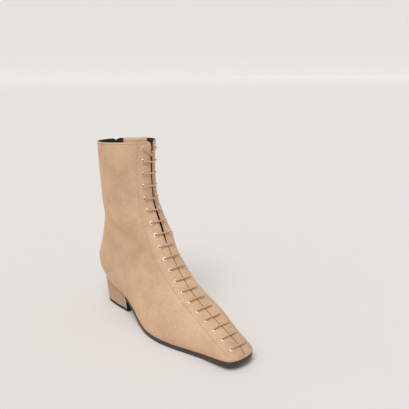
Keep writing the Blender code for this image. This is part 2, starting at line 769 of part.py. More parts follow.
def zip_frame():
    """The slider's middle on the surface, with unit vectors across, down along the zip and outward."""
    places = np.array([SLIDER_PLACE, SLIDER_PLACE + 0.01])
    angles = angle_of_share(places, "medial", column("zip", places))
    here, below = surface(places, "medial", angles)
    out = outward(places[0], "medial", angles[0])
    down = below - here
    down = down - out * (down @ out)
    down = down / np.linalg.norm(down)
    return here, np.cross(down, out), down, out


def prism(name, outline, low, high, finish):
    """A plate on the zip: its outline of (across, down) points, from one height out of the surface to another."""
    origin, across, down, out = zip_frame()
    points = [origin + a * across + d * down + h * out for h in (low, high) for a, d in outline]
    count = len(outline)
    faces = [list(range(count))[::-1], [count + k for k in range(count)]]
    for k in range(count):
        n = (k + 1) % count
        faces.append([k, n, count + n, count + k])
    return solid(name, np.array(points), faces, finish, smooth_angle=30)


def pin_tube(name, half, outer, hole, finish):
    """A pin or a bush on the hinge line of the pull, across the zip."""
    origin, across, down, out = zip_frame()
    centre = origin + PIN_OUT * out
    points, faces = [], []
    radii = (outer, hole) if hole else (outer,)
    for radius in radii:
        for side in (-half, half):
            for k in range(PIN_SIDES):
                angle = 2 * math.pi * (k + 0.5) / PIN_SIDES
                spoke = math.cos(angle) * down + math.sin(angle) * out
                points.append(centre + side * across + radius * spoke)
    ring = [list(range(k * PIN_SIDES, (k + 1) * PIN_SIDES)) for k in range(2 * len(radii))]
    for k in range(PIN_SIDES):
        n = (k + 1) % PIN_SIDES
        faces.append([ring[0][k], ring[0][n], ring[1][n], ring[1][k]])
        if hole:
            faces.append([ring[2][k], ring[2][n], ring[3][n], ring[3][k]])
            faces.append([ring[0][k], ring[0][n], ring[2][n], ring[2][k]])
            faces.append([ring[1][k], ring[1][n], ring[3][n], ring[3][k]])
    if not hole:
        faces += [ring[0], ring[1]]
    return solid(name, np.array(points), faces, finish)


def join(body, others):
    """Unions the others into the body and leaves them hidden as its helpers."""
    for other in others:
        other.hide_render = True
        other.display_type = "WIRE"
        union = body.modifiers.new(other.name, "BOOLEAN")
        union.operation = "UNION"
        union.object = other


def make_zip_slider():
    """The slider's body in the slot, with two lugs and the pin that carries the pull."""
    half = SLIDER_LONG / 2
    outline = [(-SLIDER_HALF_TOP, -half + 2), (-SLIDER_HALF_TOP + 2, -half), (SLIDER_HALF_TOP - 2, -half),
               (SLIDER_HALF_TOP, -half + 2), (SLIDER_HALF_FOOT, half), (-SLIDER_HALF_FOOT, half)]
    body = prism("zip_slider", outline, TOUCH - ZIP_TAPE_DEPTH, SLIDER_FACE, "nickel")
    lugs = []
    for sign in (-1, 1):
        near, far = sorted((sign * LUG_OFF, sign * (LUG_OFF + LUG_WIDE)))
        long = LUG_LONG / 2
        shape = [(near, -long), (far, -long), (far, long), (near, long)]
        lugs.append(prism(f"zip_lug_{sign + 1}", shape, SLIDER_FACE - 0.4, PIN_OUT + PIN_RADIUS + 0.3, "nickel"))
    lugs.append(pin_tube("zip_pin", LUG_OFF + LUG_WIDE / 2, PIN_RADIUS, 0, "nickel"))
    join(body, lugs)


def make_zip_pull():
    """The pull: an eye round the pin and a narrow tab with a slot, hanging down the zip."""
    eye_half = LUG_OFF - 2 * TOUCH
    eye = pin_tube("zip_pull", eye_half, PULL_EYE, PULL_EYE_HOLE, "nickel")
    start = (PULL_EYE + PULL_EYE_HOLE) / 2
    outline = [(-eye_half, start), (eye_half, start), (PULL_HALF, start + 3), (PULL_HALF, PULL_LONG - 1.4),
               (PULL_HALF - 1.2, PULL_LONG), (1.2 - PULL_HALF, PULL_LONG), (-PULL_HALF, PULL_LONG - 1.4),
               (-PULL_HALF, start + 3)]
    low = PIN_OUT - PULL_THICK / 2
    tab = prism("zip_pull_tab", outline, low, low + PULL_THICK, "nickel")
    join(eye, [tab])


clear_scene()
make_upper()
make_tongue()
make_insole()
make_outsole()
make_heel()
make_eyelets()
make_lace()
make_zip_tape()
make_zip_slider()
make_zip_pull()
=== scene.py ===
"""Looks of a right-foot lace up ankle boot in beige suede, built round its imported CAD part.

Blender's units are metres. The boot's own measurements are in mm, in a design frame with u forward from the
back of the heel, v towards the medial side and z up.
"""

import math

import bmesh
import bpy
import numpy as np
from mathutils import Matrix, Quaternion, Vector


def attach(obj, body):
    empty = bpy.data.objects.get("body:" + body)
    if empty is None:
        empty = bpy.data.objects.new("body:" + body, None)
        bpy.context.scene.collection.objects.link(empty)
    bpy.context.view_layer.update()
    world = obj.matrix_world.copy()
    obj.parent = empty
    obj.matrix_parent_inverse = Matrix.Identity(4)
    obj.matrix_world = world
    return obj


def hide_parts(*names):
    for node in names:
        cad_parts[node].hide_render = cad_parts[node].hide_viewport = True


bl_info = {
    "name": "Lace up ankle boot",
    "version": (1, 0, 0),
    "blender": (4, 5, 0),
    "location": "View3D > Sidebar > Boot",
    "description": "Dresses the ankle boot's CAD part in suede, lace, thread and metal",
    "category": "Object",
}

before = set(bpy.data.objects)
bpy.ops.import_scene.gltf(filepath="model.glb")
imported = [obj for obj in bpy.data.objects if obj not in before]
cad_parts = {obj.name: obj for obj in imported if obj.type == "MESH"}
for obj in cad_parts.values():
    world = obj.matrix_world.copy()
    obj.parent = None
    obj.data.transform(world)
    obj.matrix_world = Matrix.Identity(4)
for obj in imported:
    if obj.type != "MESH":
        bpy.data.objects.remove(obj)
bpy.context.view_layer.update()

MM = 0.001
MIDDLE_U = 130.2
MIDDLE_V = -0.42
WALL = 2.0
SUEDE_THICK = 0.7
TOUCH = 0.3

# The last, one row for each section from the collar to the toe tip, in mm.
# ridge is the front and top line, end is the back line and then the feather edge,
# lateral and medial are the greatest half widths, foot_* the half widths at the feather edge,
# zip is how far round the medial side the zip crosses the section, as a share of it.
LAST_COLUMNS = (
    "ridge_u", "ridge_z", "end_u", "end_z", "lateral", "medial", "foot_lateral", "foot_medial", "zip",
)
LAST = {
    "collar": (94.4, 240.0, -3.0, 234.0, 36.5, 33.0, 0, 0, 0.593),
    "upper shaft": (96.2, 203.0, -0.5, 196.0, 36.0, 32.5, 0, 0, 0.553),
    "shaft": (99.3, 165.8, 3.2, 157.0, 36.0, 32.5, 0, 0, 0.52),
    "ankle": (105.6, 150.3, 5.2, 137.0, 35.2, 32.5, 0, 0, 0.52),
    "below ankle": (112.0, 138.2, 3.8, 115.0, 35.0, 33.4, 0, 0, 0.505),
    "counter top": (117.0, 129.6, -3.0, 92.0, 34.5, 33.8, 0, 0, 0.467),
    "counter": (120.6, 123.8, -11.8, 66.0, 34.8, 34.0, 0, 0, 0.43),
    "heel bulge": (123.6, 119.0, -11.6, 48.0, 34.3, 33.0, 0, 0, 0.43),
    "seat back": (126.6, 114.6, -2.0, 34.8, 33.3, 31.8, 0, 0, 0.45),
    "seat corner": (129.6, 110.4, 2.6, 34.3, 32.0, 30.5, 16.0, 15.0, 0.465),
    "seat side": (133.5, 105.2, 15.5, 32.7, 31.5, 30.0, 24.2, 23.0, 0.515),
    "seat": (139.0, 98.2, 40.0, 29.0, 32.0, 30.0, 25.8, 24.6, 0.60),
    "breast": (146.5, 89.2, 66.0, 23.4, 33.5, 31.0, 25.5, 23.0, 0.70),
    "waist": (155.5, 79.6, 90.0, 15.2, 36.0, 31.5, 29.0, 22.5, 0.76),
    "arch": (167.0, 69.0, 114.0, 7.6, 39.5, 34.0, 35.0, 27.5, 0.76),
    "lateral ball": (180.5, 59.2, 138.0, 5.6, 42.5, 38.0, 40.5, 33.5, 0.7),
    "ball": (195.0, 51.2, 161.0, 5.5, 42.5, 40.5, 41.0, 38.0, 0.65),
    "medial ball": (210.5, 44.3, 183.0, 5.5, 38.5, 39.8, 37.0, 38.2, 0.6),
    "tread front": (226.5, 38.2, 205.0, 5.7, 32.0, 34.2, 30.5, 33.0, 0.6),
    "toe side": (241.5, 32.6, 226.0, 6.8, 26.3, 27.8, 25.0, 26.5, 0.6),
    "toe": (254.5, 27.0, 244.0, 8.5, 23.4, 25.2, 22.6, 24.6, 0.6),
    "toe corner": (264.5, 21.8, 257.5, 10.1, 21.4, 23.0, 20.9, 22.6, 0.6),
    "toe bend": (270.0, 17.4, 266.5, 11.0, 18.2, 19.4, 17.8, 19.0, 0.6),
    "toe front": (272.0, 13.2, 271.2, 11.4, 10.5, 11.5, 9.7, 10.7, 0.6),
    "toe tip": (272.4, 11.5, 272.4, 11.5, 0, 0, 0, 0, 0.6),
}
SECTION = {name: index for index, name in enumerate(LAST)}
COLUMN = {
    name: np.array([row[index] for row in LAST.values()], float)
    for index, name in enumerate(LAST_COLUMNS)
}
SEAT_BACK = SECTION["seat back"]
BREAST = SECTION["breast"]
TOE_TIP = SECTION["toe tip"]
SIDES = {"lateral": -1, "medial": 1}
# Round the seat's back, for SEAT_REACH sections, the wall is a mean of its sections shifted by these places.
# The end line keeps its corner there: the power says how fast the mean takes over up the section.
SEAT_REACH = 1.3
SEAT_SHIFTS = (-0.9, -0.45, 0.0, 0.45, 0.9)
END_CORNER_POWER = 6
# How far the ridge lies to the medial side, in mm by section place.
RIDGE_V = ((0, 9.6), (0.5, 7.2), (1.2, 5.3), (2.4, 5.0), (4.5, 4.2), (5.5, 3.4), (8, 2.5), (22, 2.5), (24, 0))

# The shape of the front half of the sections, as section place and power: 1 is an ellipse, less is blunter,
# and more comes to a fold at the throat.
BLUNTNESS = {
    "lateral": ((0, 1.6), (3, 1.6), (5, 1.0), (7, 0.8), (13, 0.8), (16, 0.85), (20, 0.9), (24, 1.0)),
    "medial": ((0, 2.4), (1.5, 2.6), (3, 1.9), (4.5, 1.2), (6, 0.7), (9, 0.66), (13, 0.75), (16, 0.85),
               (20, 0.9), (24, 1.0)),
}
# The shape of the back half, which rounds the heel's counter.
BACK_BLUNTNESS = ((0, 0.93), (3, 0.95), (5, 0.7), (6, 0.56), (8, 0.56), (10, 0.72), (13, 0.95), (14, 1.0))

# The throat: half gap in mm by section place, then a closed seam.
THROAT_GAP = ((0, 2.7), (0.6, 2.6), (1.3, 2.0), (4, 1.9), (8.4, 0.7))
THROAT_FOOT = 8.5
SEAM_HALF = 0.5

# The rounded top corners of the facings: radius in mm, and the section place where their effect ends.
CORNER_RADIUS = 5.0
CORNER_FADE = 0.5
TOP_ROW_MM = 37.0

# The zip slot.
ZIP_HALF_TOP = 5.2
ZIP_HALF_LOW = 2.9
ZIP_NARROWS_AT = 0.45
ZIP_NARROWS_OVER = 0.5
ZIP_FOOT = 12.0
ZIP_TAPE_DEPTH = 2.9
ZIP_TAPE_THICK = 0.7
ZIP_TAPE_HALF = 8.0
TOOTH_PITCH = 1.7
# Half a tooth across the zip, along it and out from the tape, and how far its middle is off the zip's middle.
TOOTH_HALVES = (1.1, 0.36, 0.6)
TOOTH_OFF = 0.75
# The softened edges of the slider and its pull, and how near points are welded first, in metres.
SOFT_EDGE = 0.00022
WELD_WITHIN = 0.00002

EYELET_PAIRS = 19
EYELET_PITCH = 16.2
FIRST_EYELET_DOWN = 8.7
EYELET_OFF_RIDGE = 10.9
# The stitch row outside the eyelets: section place, mm off the ridge. It ends at the feather edge of the toe.
STITCH_ROW = ((0, 16.6), (2, 17.2), (6, 19.5), (12, 19.5), (20, 18.5), (21.3, 18.5))
STITCH_MARGIN = 1.9
COLLAR_STITCH_DOWN = 2.3
COLLAR_STITCH_FROM_RIDGE = 7.0
COLLAR_STITCH_FROM_ZIP = 2.2
# One stitch: pitch as a multiple of its length, and the width and lift of its ends and of its top.
STITCH_PITCH = 1.45
STITCH_RINGS = ((0.0, 0.35), (0.75, 1.0), (0.0, 0.35))

EYELET_OUTER = 2.7
EYELET_HOLE = 1.5
EYELET_BARREL_THICK = 0.15
EYELET_SINKS = -0.1
EYELET_ROLL_BASE = 0.05
EYELET_ROLL_RISE = 0.62
EYELET_SIDES = 24

# How far a bar's middle may lie above or below its place, in mm.
BAR_UNEVEN = 0.7
LACE_SEED = 11
LACE_BEND = 1.5
STRAIGHT_ENOUGH = 0.8
LACE_RADIUS = 1.0
LACE_OVER = 0.6 + 3 * TOUCH + LACE_RADIUS + 0.2
LACE_UNDER = WALL + LACE_RADIUS + 0.7
LACE_SIDES = 12
# The bar of the second pair hangs a little: forward and down, in mm.
LOOSE_BAR = (0.6, 0.0, -1.6)
# How far above the second eyelet an end of the lace starts, and where the two ends go in: section places
# below the top eyelet, mm to the lateral side of the ridge, and the last point inside, forward and up in mm.
END_STARTS_UP = 4.4
END_GOES_IN = {"lateral": 0.27, "medial": 0.13}
BETWEEN_LIPS = 0.35
END_INSIDE = (-12.0, -2.0)
# How far the lace's own ends run on behind the facing, at the second pair and at the toe.
LAST_RUN_UP = 4.0
FIRST_RUN_IN = 2.0

TONGUE_DEPTH = 5.0
TONGUE_THICK = 1.6
TONGUE_TOP = -0.135
TONGUE_FOOT = 6.0
# The tongue's edges in mm off the ridge: at the top, their change, and the places where it starts and ends.
TONGUE_INNER = (-6.5, 10.0, 3.0, 5.5)
TONGUE_OUTER = (-30.0, 8.0, 2.0, 6.0)
# How far the tongue's top leans in, in mm, and over how many sections.
TONGUE_LEAN = 3.0
TONGUE_LEAN_OVER = 1.2
TONGUE_MOST_ROLLED = 0.75

SOLE_LIP = 0.8
SOLE_THICK = 5.2
WAIST_THICK = 3.6
# Where the waist begins, over how many mm the sole thickens in front of it, and the flat tread, all by u.
WAIST_ENDS = 112.0
WAIST_FADE = 46.0
TREAD = (132.0, 206.0)
# The sole's edge from its top to its bottom: share of the height, and how far in it lies in lips.
SOLE_EDGE = ((0.0, 0.4), (0.02, -0.4), (0.1, -0.95), (0.2, -1.1), (0.28, -0.95), (0.33, -1.1), (0.6, -1.15),
             (0.8, -1.0), (0.93, -0.6), (1.0, 0.1))
TOP_PIECE_THICK = 4.2
HEEL_BOTTOM_BACK = 2.5
HEEL_BOTTOM_FRONT = 67.3
HEEL_BOTTOM_SHARE = 0.93
HEEL_HEIGHT = 30.0
BREAST_HOLLOW = 4.0
BREAST_HOLLOW_STARTS = 0.2
# The top piece's levels: share of the heel's height, how far its edge is rounded in, and height in mm.
TOP_PIECE_LEVELS = (
    (1 - TOP_PIECE_THICK / 30, 0.25, TOP_PIECE_THICK),
    (1 - TOP_PIECE_THICK / 32, 0.0, TOP_PIECE_THICK - 0.3),
    (0.985, 0.0, 0.3),
    (1.0, 0.3, 0.0),
)
# The tube of painted shadow in the seam under the heel: its radius and how far in it lies, in mm.
SEAT_SEAM_RADIUS = 0.38
SEAT_SEAM_IN = 0.15

# Creases of the suede as soft troughs: side, points of (u, z) along it, half width and depth in mm, and
# shade, how dark the painted shade in and beside the trough is.
CREASES = (
    ("lateral", ((28, 134), (52, 127), (78, 117), (100, 106)), 6.0, 0.9, 0.8),
    ("lateral", ((66, 137), (86, 124), (103, 108), (116, 90)), 5.0, 0.7, 0.9),
    ("lateral", ((96, 132), (110, 118), (124, 100), (133, 84)), 5.5, 0.8, 1.0),
    ("lateral", ((14, 112), (40, 104), (62, 92)), 7.0, 0.6, 0.5),
    ("lateral", ((46, 84), (70, 92), (98, 86)), 8.0, 0.5, 0.35),
    ("lateral", ((150, 56), (172, 40), (188, 26)), 7.0, 0.5, 0.35),
    ("lateral", ((40, 208), (58, 190), (72, 168)), 9.0, 0.5, 0.45),
    ("medial", ((28, 134), (46, 128), (58, 122)), 6.0, 0.9, 0.9),
    ("medial", ((70, 138), (90, 122), (108, 104)), 6.0, 0.9, 0.9),
    ("medial", ((96, 130), (116, 110), (128, 88)), 6.0, 0.8, 1.0),
    ("medial", ((78, 92), (100, 80), (126, 66)), 8.0, 0.7, 0.6),
    ("medial", ((150, 58), (174, 42), (190, 26)), 7.0, 0.5, 0.4),
    ("medial", ((24, 206), (30, 182), (36, 160)), 8.0, 0.5, 0.4),
)
# The soft wave at the back of the ankle: height, half height and depth in mm.
BACK_WAVES = ((133.0, 8.0, 1.1), (112.0, 7.0, -0.5), (158.0, 10.0, -0.4))
# It fades out from the first u to the second, and this share of its depth darkens the suede.
BACK_WAVE_FADES = (4.0, 34.0)
BACK_WAVE_SHADE = 0.25
# The creases fade in between these distances from the ridge, in mm.
CREASES_START = (10.0, 22.0)
# A ridge stands beside each trough, this many half widths away, with this share of the trough's depth.
SHOULDER_OFF = 1.7
SHOULDER_SHARE = 0.35
MOST_DARK = 1.4
# Broad painted shade on the toe's front and the shaft's top: the axis, from where to where it deepens along
# it in mm, and how dark.
SHADED = ((0, 228.0, 264.0, 0.35), (2, 180.0, 238.0, 0.32))


def to_model(points):
    """Design points (u, v, z) in mm as model points in metres."""
    points = np.asarray(points, float)
    u, v, z = points[..., 0], points[..., 1], points[..., 2]
    return np.stack([v - MIDDLE_V, MIDDLE_U - u, z], -1) * MM


def between(values, t):
    """Catmull-Rom through the values, at places t counted in rows, straight past both ends."""
    values = np.asarray(values, float)
    padded = np.concatenate([[2 * values[0] - values[1]], values, [2 * values[-1] - values[-2]]])
    t = np.asarray(t, float)
    row = np.clip(np.floor(t).astype(int), 0, len(values) - 2)
    f = t - row
    a, b, c, d = (padded[row + k] for k in range(4))
    curved = b + 0.5 * f * (c - a + f * (2 * a - 5 * b + 4 * c - d + f * (3 * (b - c) + d - a)))
    return np.where(t < 0, values[0] + t * (values[1] - values[0]), curved)


def column(name, t):
    """A column of the last at places t. The end line has a corner at the seat's back, the foot is round."""
    t = np.asarray(t, float)
    values = COLUMN[name]
    if name in ("end_u", "end_z"):
        back = between(values[: SEAT_BACK + 1], np.minimum(t, SEAT_BACK))
        feather_line = between(values[SEAT_BACK:], np.maximum(t, SEAT_BACK) - SEAT_BACK)
        return np.where(t <= SEAT_BACK, back, feather_line)
    if name.startswith("foot"):
        squared = between(values[SEAT_BACK:] ** 2, np.maximum(t, SEAT_BACK) - SEAT_BACK)
        return np.sqrt(np.maximum(squared, 0))
    return between(values, t)


def feather(t, side):
    """The feather edge at t: where the wall meets the sole."""
    sign = SIDES[side]
    return np.stack([column("end_u", t), sign * column("foot_" + side, t), column("end_z", t)], -1)


def end_angle(t, side):
    """The angle at which the section reaches its end line."""
    ratio = column("foot_" + side, t) / np.maximum(column(side, t), 0.01)
    return math.pi - np.arcsin(np.clip(ratio, 0, 0.985) ** (1 / bluntness(t, BACK_BLUNTNESS)))


def bluntness(t, table):
    """The power that fills out a half of the section at t."""
    places, powers = zip(*table)
    return np.interp(t, places, powers)


def surface(t, side, angle):
    """The smooth outer surface of the upper, from the ridge at angle 0 to the end line.

    The end line's corner at the seat's back would run up the whole wall, so it is softened above that line.
    """
    t, angle = np.broadcast_arrays(np.asarray(t, float), np.asarray(angle, float))
    points = sections(t, side, angle)
    near = np.exp(-(((t - SEAT_BACK) / SEAT_REACH) ** 2))
    close = near > 0.01
    if close.any():
        place, turn = t[close], angle[close]
        soft = sum(sections(place + shift, side, turn) for shift in SEAT_SHIFTS) / len(SEAT_SHIFTS)
        share = (1 - np.cos(turn)) / (1 - np.cos(end_angle(place, side)))
        blend = near[close] * (1 - np.clip(share, 0, 1) ** END_CORNER_POWER)
        points[close] += (soft - points[close]) * blend[..., None]
    return points


def sections(t, side, angle):
    """Points of the last's sections: the rows t, and the angle in each from the ridge to the end line."""
    share = (1 - np.cos(angle)) / (1 - np.cos(end_angle(t, side)))
    u = column("ridge_u", t) + (column("end_u", t) - column("ridge_u", t)) * share
    z = column("ridge_z", t) + (column("end_z", t) - column("ridge_z", t)) * share
    centre = ridge_v(t) * (1 - share)
    rise = np.sin(angle)
    power = np.where(angle < math.pi / 2, bluntness(t, BLUNTNESS[side]), bluntness(t, BACK_BLUNTNESS))
    half = column(side, t) * np.sign(rise) * np.abs(rise) ** power
    return np.stack([u, centre + SIDES[side] * half, z], -1)


def ridge_v(t):
    """The ridge runs a little to the medial side, and comes back to the middle at the toe tip."""
    places, shifts = zip(*RIDGE_V)
    return np.interp(t, places, shifts)


def angle_of_share(t, side, share):
    return np.arccos(np.clip(1 - share * (1 - np.cos(end_angle(t, side))), -1, 1))


def angle_of_offset(t, side, offset):
    """The angle at which the surface lies that many mm off the ridge."""
    ratio = np.clip(offset / np.maximum(column(side, t), 0.01), 0, 1)
    return np.arcsin(ratio ** (1 / bluntness(t, BLUNTNESS[side])))


def outward(t, side, angle):
    """The outward unit normal of the smooth surface."""
    step = 0.004
    along = surface(t + step, side, angle) - surface(t - step, side, angle)
    across = surface(t, side, angle + step) - surface(t, side, angle - step)
    normal = np.cross(along, across) * SIDES[side]
    length = np.linalg.norm(normal, axis=-1, keepdims=True)
    return normal / np.maximum(length, 1e-9)


def section_span(t):
    """Length in mm of the straight line from the ridge to the end line."""
    return np.hypot(column("end_u", t) - column("ridge_u", t), column("end_z", t) - column("ridge_z", t))


def zip_half(t):
    """Half width of the zip slot, wider where the slider stands."""
    narrowed = np.clip((np.asarray(t, float) - ZIP_NARROWS_AT) / ZIP_NARROWS_OVER, 0, 1)
    return ZIP_HALF_TOP + (ZIP_HALF_LOW - ZIP_HALF_TOP) * narrowed


def zip_angle(t, offset):
    """The angle on the medial side that lies offset mm behind the zip's middle."""
    return angle_of_share(t, "medial", column("zip", t) + offset / np.maximum(section_span(t), 20))


def throat_gap(t):
    places, halves = zip(*THROAT_GAP)
    return np.interp(t, places, halves)


def smooth_step(value, low, high):
    share = np.clip((value - low) / (high - low), 0, 1)
    return share * share * (3 - 2 * share)


def line_distance(points, line):
    """Distance in mm from each (u, z) point to the line, and how far along it that is, from 0 to 1."""
    line = np.array(line, float)
    best = np.full(len(points), 1e9)
    place = np.zeros(len(points))
    for k, (start, end) in enumerate(zip(line, line[1:])):
        run = end - start
        share = np.clip((points - start) @ run / (run @ run), 0, 1)
        gap = np.linalg.norm(points - start - share[:, None] * run, axis=1)
        nearer = gap < best
        best = np.where(nearer, gap, best)
        place = np.where(nearer, (k + share) / (len(line) - 1), place)
    return best, place


def creasing(points, side):
    """How deep the creases are at the points, in mm, and how much painted shade darkens the suede there."""
    flat = points.reshape(-1, 3)
    plan = flat[:, [0, 2]]
    depth, dark = np.zeros(len(flat)), np.zeros(len(flat))
    off_ridge = smooth_step(SIDES[side] * flat[:, 1], *CREASES_START)
    for crease_side, line, half, deep, shade in CREASES:
        if crease_side != side:
            continue
        gap, place = line_distance(plan, line)
        fade = np.sin(math.pi * np.clip(place * 0.9 + 0.05, 0, 1)) ** 0.7
        trough = np.exp(-((gap / half) ** 2)) * fade * off_ridge
        shoulder = np.exp(-(((gap - SHOULDER_OFF * half) / half) ** 2)) * fade * off_ridge
        depth += deep * (trough - SHOULDER_SHARE * shoulder)
        dark += shade * np.exp(-((gap / (SHOULDER_OFF * half)) ** 2)) * fade * off_ridge
    behind = 1 - smooth_step(flat[:, 0], *BACK_WAVE_FADES)
    for height, half, deep in BACK_WAVES:
        wave = np.exp(-(((flat[:, 2] - height) / half) ** 2)) * behind
        depth += deep * wave
        dark += BACK_WAVE_SHADE * max(deep, 0) * wave
    # Broad, soft painted shade on the toe's front and on the shaft's top.
    for axis, low, high, shade in SHADED:
        dark += shade * smooth_step(flat[:, axis], low, high)
    return depth.reshape(points.shape[:-1]), np.clip(dark, 0, MOST_DARK).reshape(points.shape[:-1])


def skin(t, side, angle):
    """The suede's surface with its creases, and the outward normal of the smooth surface."""
    t, angle = np.broadcast_arrays(np.asarray(t, float), np.asarray(angle, float))
    points, normals = surface(t, side, angle), outward(t, side, angle)
    depth, _ = creasing(points, side)
    return points - depth[..., None] * normals, normals


# Shaders


class Shade:
    """A socket in a material, worked on with Python's operators: Math nodes for values, Mix for colours."""

    def __init__(self, tree, socket=None):
        self.tree = tree
        self.socket = socket

    def node(self, kind, settings=None, out=0, **inputs):
        """A node of that kind with its settings and its inputs, by name or by _index, as its socket out."""
        made = self.tree.nodes.new(kind)
        for key, value in (settings or {}).items():
            setattr(made, key, value)
        for key, value in inputs.items():
            socket = made.inputs[int(key[1:])] if key.startswith("_") else made.inputs[key]
            if isinstance(value, Shade):
                self.tree.links.new(value.socket, socket)
            else:
                socket.default_value = value
        return Shade(self.tree, made.outputs[out])

    def maths(self, operation, *values):
        inputs = {f"_{index}": value for index, value in enumerate(values)}
        return self.node("ShaderNodeMath", {"operation": operation}, **inputs)

    def tones(self, share, first, second):
        """A colour that goes from the first to the second by that share."""
        return self.node("ShaderNodeMix", {"data_type": "RGBA"}, out=2, _0=share, _6=first, _7=second)

    def mix(self, other, share):
        """This colour turned into the other one by that share."""
        return self.tones(share, self, other)

    def ramp(self, stops):
        """A colour by this value through the stops, each a place and a colour, the first two at the ends."""
        made = self.node("ShaderNodeValToRGB", out="Color", Fac=self)
        elements = made.socket.node.color_ramp.elements
        for index, (place, colour) in enumerate(stops):
            stop = elements[index] if index < 2 else elements.new(place)
            stop.position = place
            stop.color = colour
        return made

    def __add__(self, other):
        return self.maths("ADD", self, other)

    def __sub__(self, other):
        return self.maths("SUBTRACT", self, other)

    def __mul__(self, other):
        return self.maths("MULTIPLY", self, other)

    def held(self, low=0.0, high=1.0):
        """The value held between low and high."""
        return self.maths("MINIMUM", self.maths("MAXIMUM", self, low), high)


def rgba(colour):
    return (*tuple(colour)[:3], 1.0)


def toned(colour, times):
    """The colour that many times as bright, up to white."""
    return [min(1, times * c) for c in tuple(colour)[:3]]


def deeper(colour, share):
    """The colour darkened by that share."""
    return [c * (1 - share) for c in tuple(colour)[:3]]


# Scales of the suede's noises, in cells per metre, and how much each counts in the mottling.
BROAD_SCALE, BROAD_COUNTS = 26, 1.9
PATCH_SCALE, PATCH_COUNTS = 75, 1.0
TUFT_SCALE, TUFT_COUNTS = 340, 1.3
NAP_SCALE = 1500
# The tones of the painted shade in the creases and of the front seam, as shares of the suede's red, green and
# blue.
CREASE_SHADE_TONE = (0.72, 0.62, 0.53)
SEAM_TONE = (0.40, 0.32, 0.26)
# The plait of the lace: its turns along a mm, and its strands round it.
PLAIT_ALONG = 3.6
PLAIT_STRANDS = 3
# How deep the finest bumps of every finish are, in metres.
GRAIN_DEPTH = 0.0002
# The paper's tone by the upward part of its normal, painted light that evens out how lit the floor, the bend
# and the wall look: 0 is the upright wall and 1 the floor.
PAPER_TONES = ((0.0, 1.19), (1.0, 1.0), (0.35, 1.04), (0.7, 0.956), (0.9, 0.944))


def finish_of(name, colour, roughness, metallic=0.0, **fixed):
    """A Principled material with constant sockets, and its shader and an empty Shade to add nodes with."""
    made = bpy.data.materials.new(name)
    made.use_nodes = True
    shader = made.node_tree.nodes["Principled BSDF"]
    shader.inputs["Base Color"].default_value = rgba(colour)
    shader.inputs["Roughness"].default_value = roughness
    shader.inputs["Metallic"].default_value = metallic
    for key, value in fixed.items():
        shader.inputs[key.replace("_", " ")].default_value = value
    return made, shader, Shade(made.node_tree)


def feed(shader, shade, socket):
    shade.tree.links.new(shade.socket, shader.inputs[socket])


def noise(shade, place, scale, detail):
    inputs = {"Vector": place, "Scale": scale, "Detail": detail, "Roughness": 0.6}
    return shade.node("ShaderNodeTexNoise", out="Fac", **inputs)


def bump(shader, shade, height, strength):
    bumped = shade.node("ShaderNodeBump", Strength=strength, Distance=GRAIN_DEPTH, Height=height)
    feed(shader, bumped, "Normal")


def suede_finish(name, colour, marks=True):
    """Napped suede: soft mottling, a fine nap, painted shade in the creases and a darker seam from the mesh's
    own marks.
    """
    made, shader, shade = finish_of(name, colour, 0.92, Sheen_Weight=0.25, Sheen_Roughness=0.6)
    shader.inputs["Sheen Tint"].default_value = rgba(toned(colour, 1.3))
    shader.inputs["Specular IOR Level"].default_value = 0.2
    place = shade.node("ShaderNodeTexCoord", out="Object")
    broad = noise(shade, place, BROAD_SCALE, 3)
    patch = noise(shade, place, PATCH_SCALE, 3)
    tuft = noise(shade, place, TUFT_SCALE, 2)
    nap = noise(shade, place, NAP_SCALE, 2)
    mottle = (broad - 0.5) * BROAD_COUNTS + (patch - 0.5) * PATCH_COUNTS + (tuft - 0.5) * TUFT_COUNTS
    base = shade.tones((mottle + 0.45).held(), rgba(toned(colour, 1.1)), rgba(deeper(colour, 0.2)))
    grain = ((nap - 0.5) * 0.9 + 0.32).held()
    base = base.mix(rgba(deeper(colour, 0.32)), grain * 0.42)
    if marks:
        crease = shade.node("ShaderNodeAttribute", {"attribute_name": "crease"}, out="Fac")
        seam = shade.node("ShaderNodeAttribute", {"attribute_name": "seam"}, out="Fac")
        # Painted shade: the suede darkens in the creases, the back wave and the broad shaded places.
        crease_shade_share = (crease * (patch + 0.45)).held()
        base = base.mix(rgba(np.multiply(CREASE_SHADE_TONE, tuple(colour))), crease_shade_share * 0.5)
        base = base.mix(rgba(np.multiply(SEAM_TONE, tuple(colour))), seam.held())
    feed(shader, base, "Base Color")
    bump(shader, shade, nap + patch * 0.6, 0.35)
    return made


def lace_finish(colour):
    """A round plaited lace. Its marks u and v run along it in mm and round it once."""
    made, shader, shade = finish_of("plaited lace", colour, 0.75, Sheen_Weight=0.2)
    place = shade.node("ShaderNodeUVMap", {"uv_map": "lace"}, out="UV")
    along = shade.node("ShaderNodeSeparateXYZ", out="X", Vector=place)
    around = shade.node("ShaderNodeSeparateXYZ", out="Y", Vector=place)
    left = shade.maths("SINE", along * PLAIT_ALONG + around * (PLAIT_STRANDS * 2 * math.pi))
    right = shade.maths("SINE", along * PLAIT_ALONG - around * (PLAIT_STRANDS * 2 * math.pi))
    plait = (left * right * 0.5) + 0.5
    # The colour darkens down into the plait's grooves: painted shade between the strands.
    feed(shader, shade.tones(plait, rgba(deeper(colour, 0.3)), rgba(toned(colour, 1.12))), "Base Color")
    bump(shader, shade, plait, 0.5)
    return made


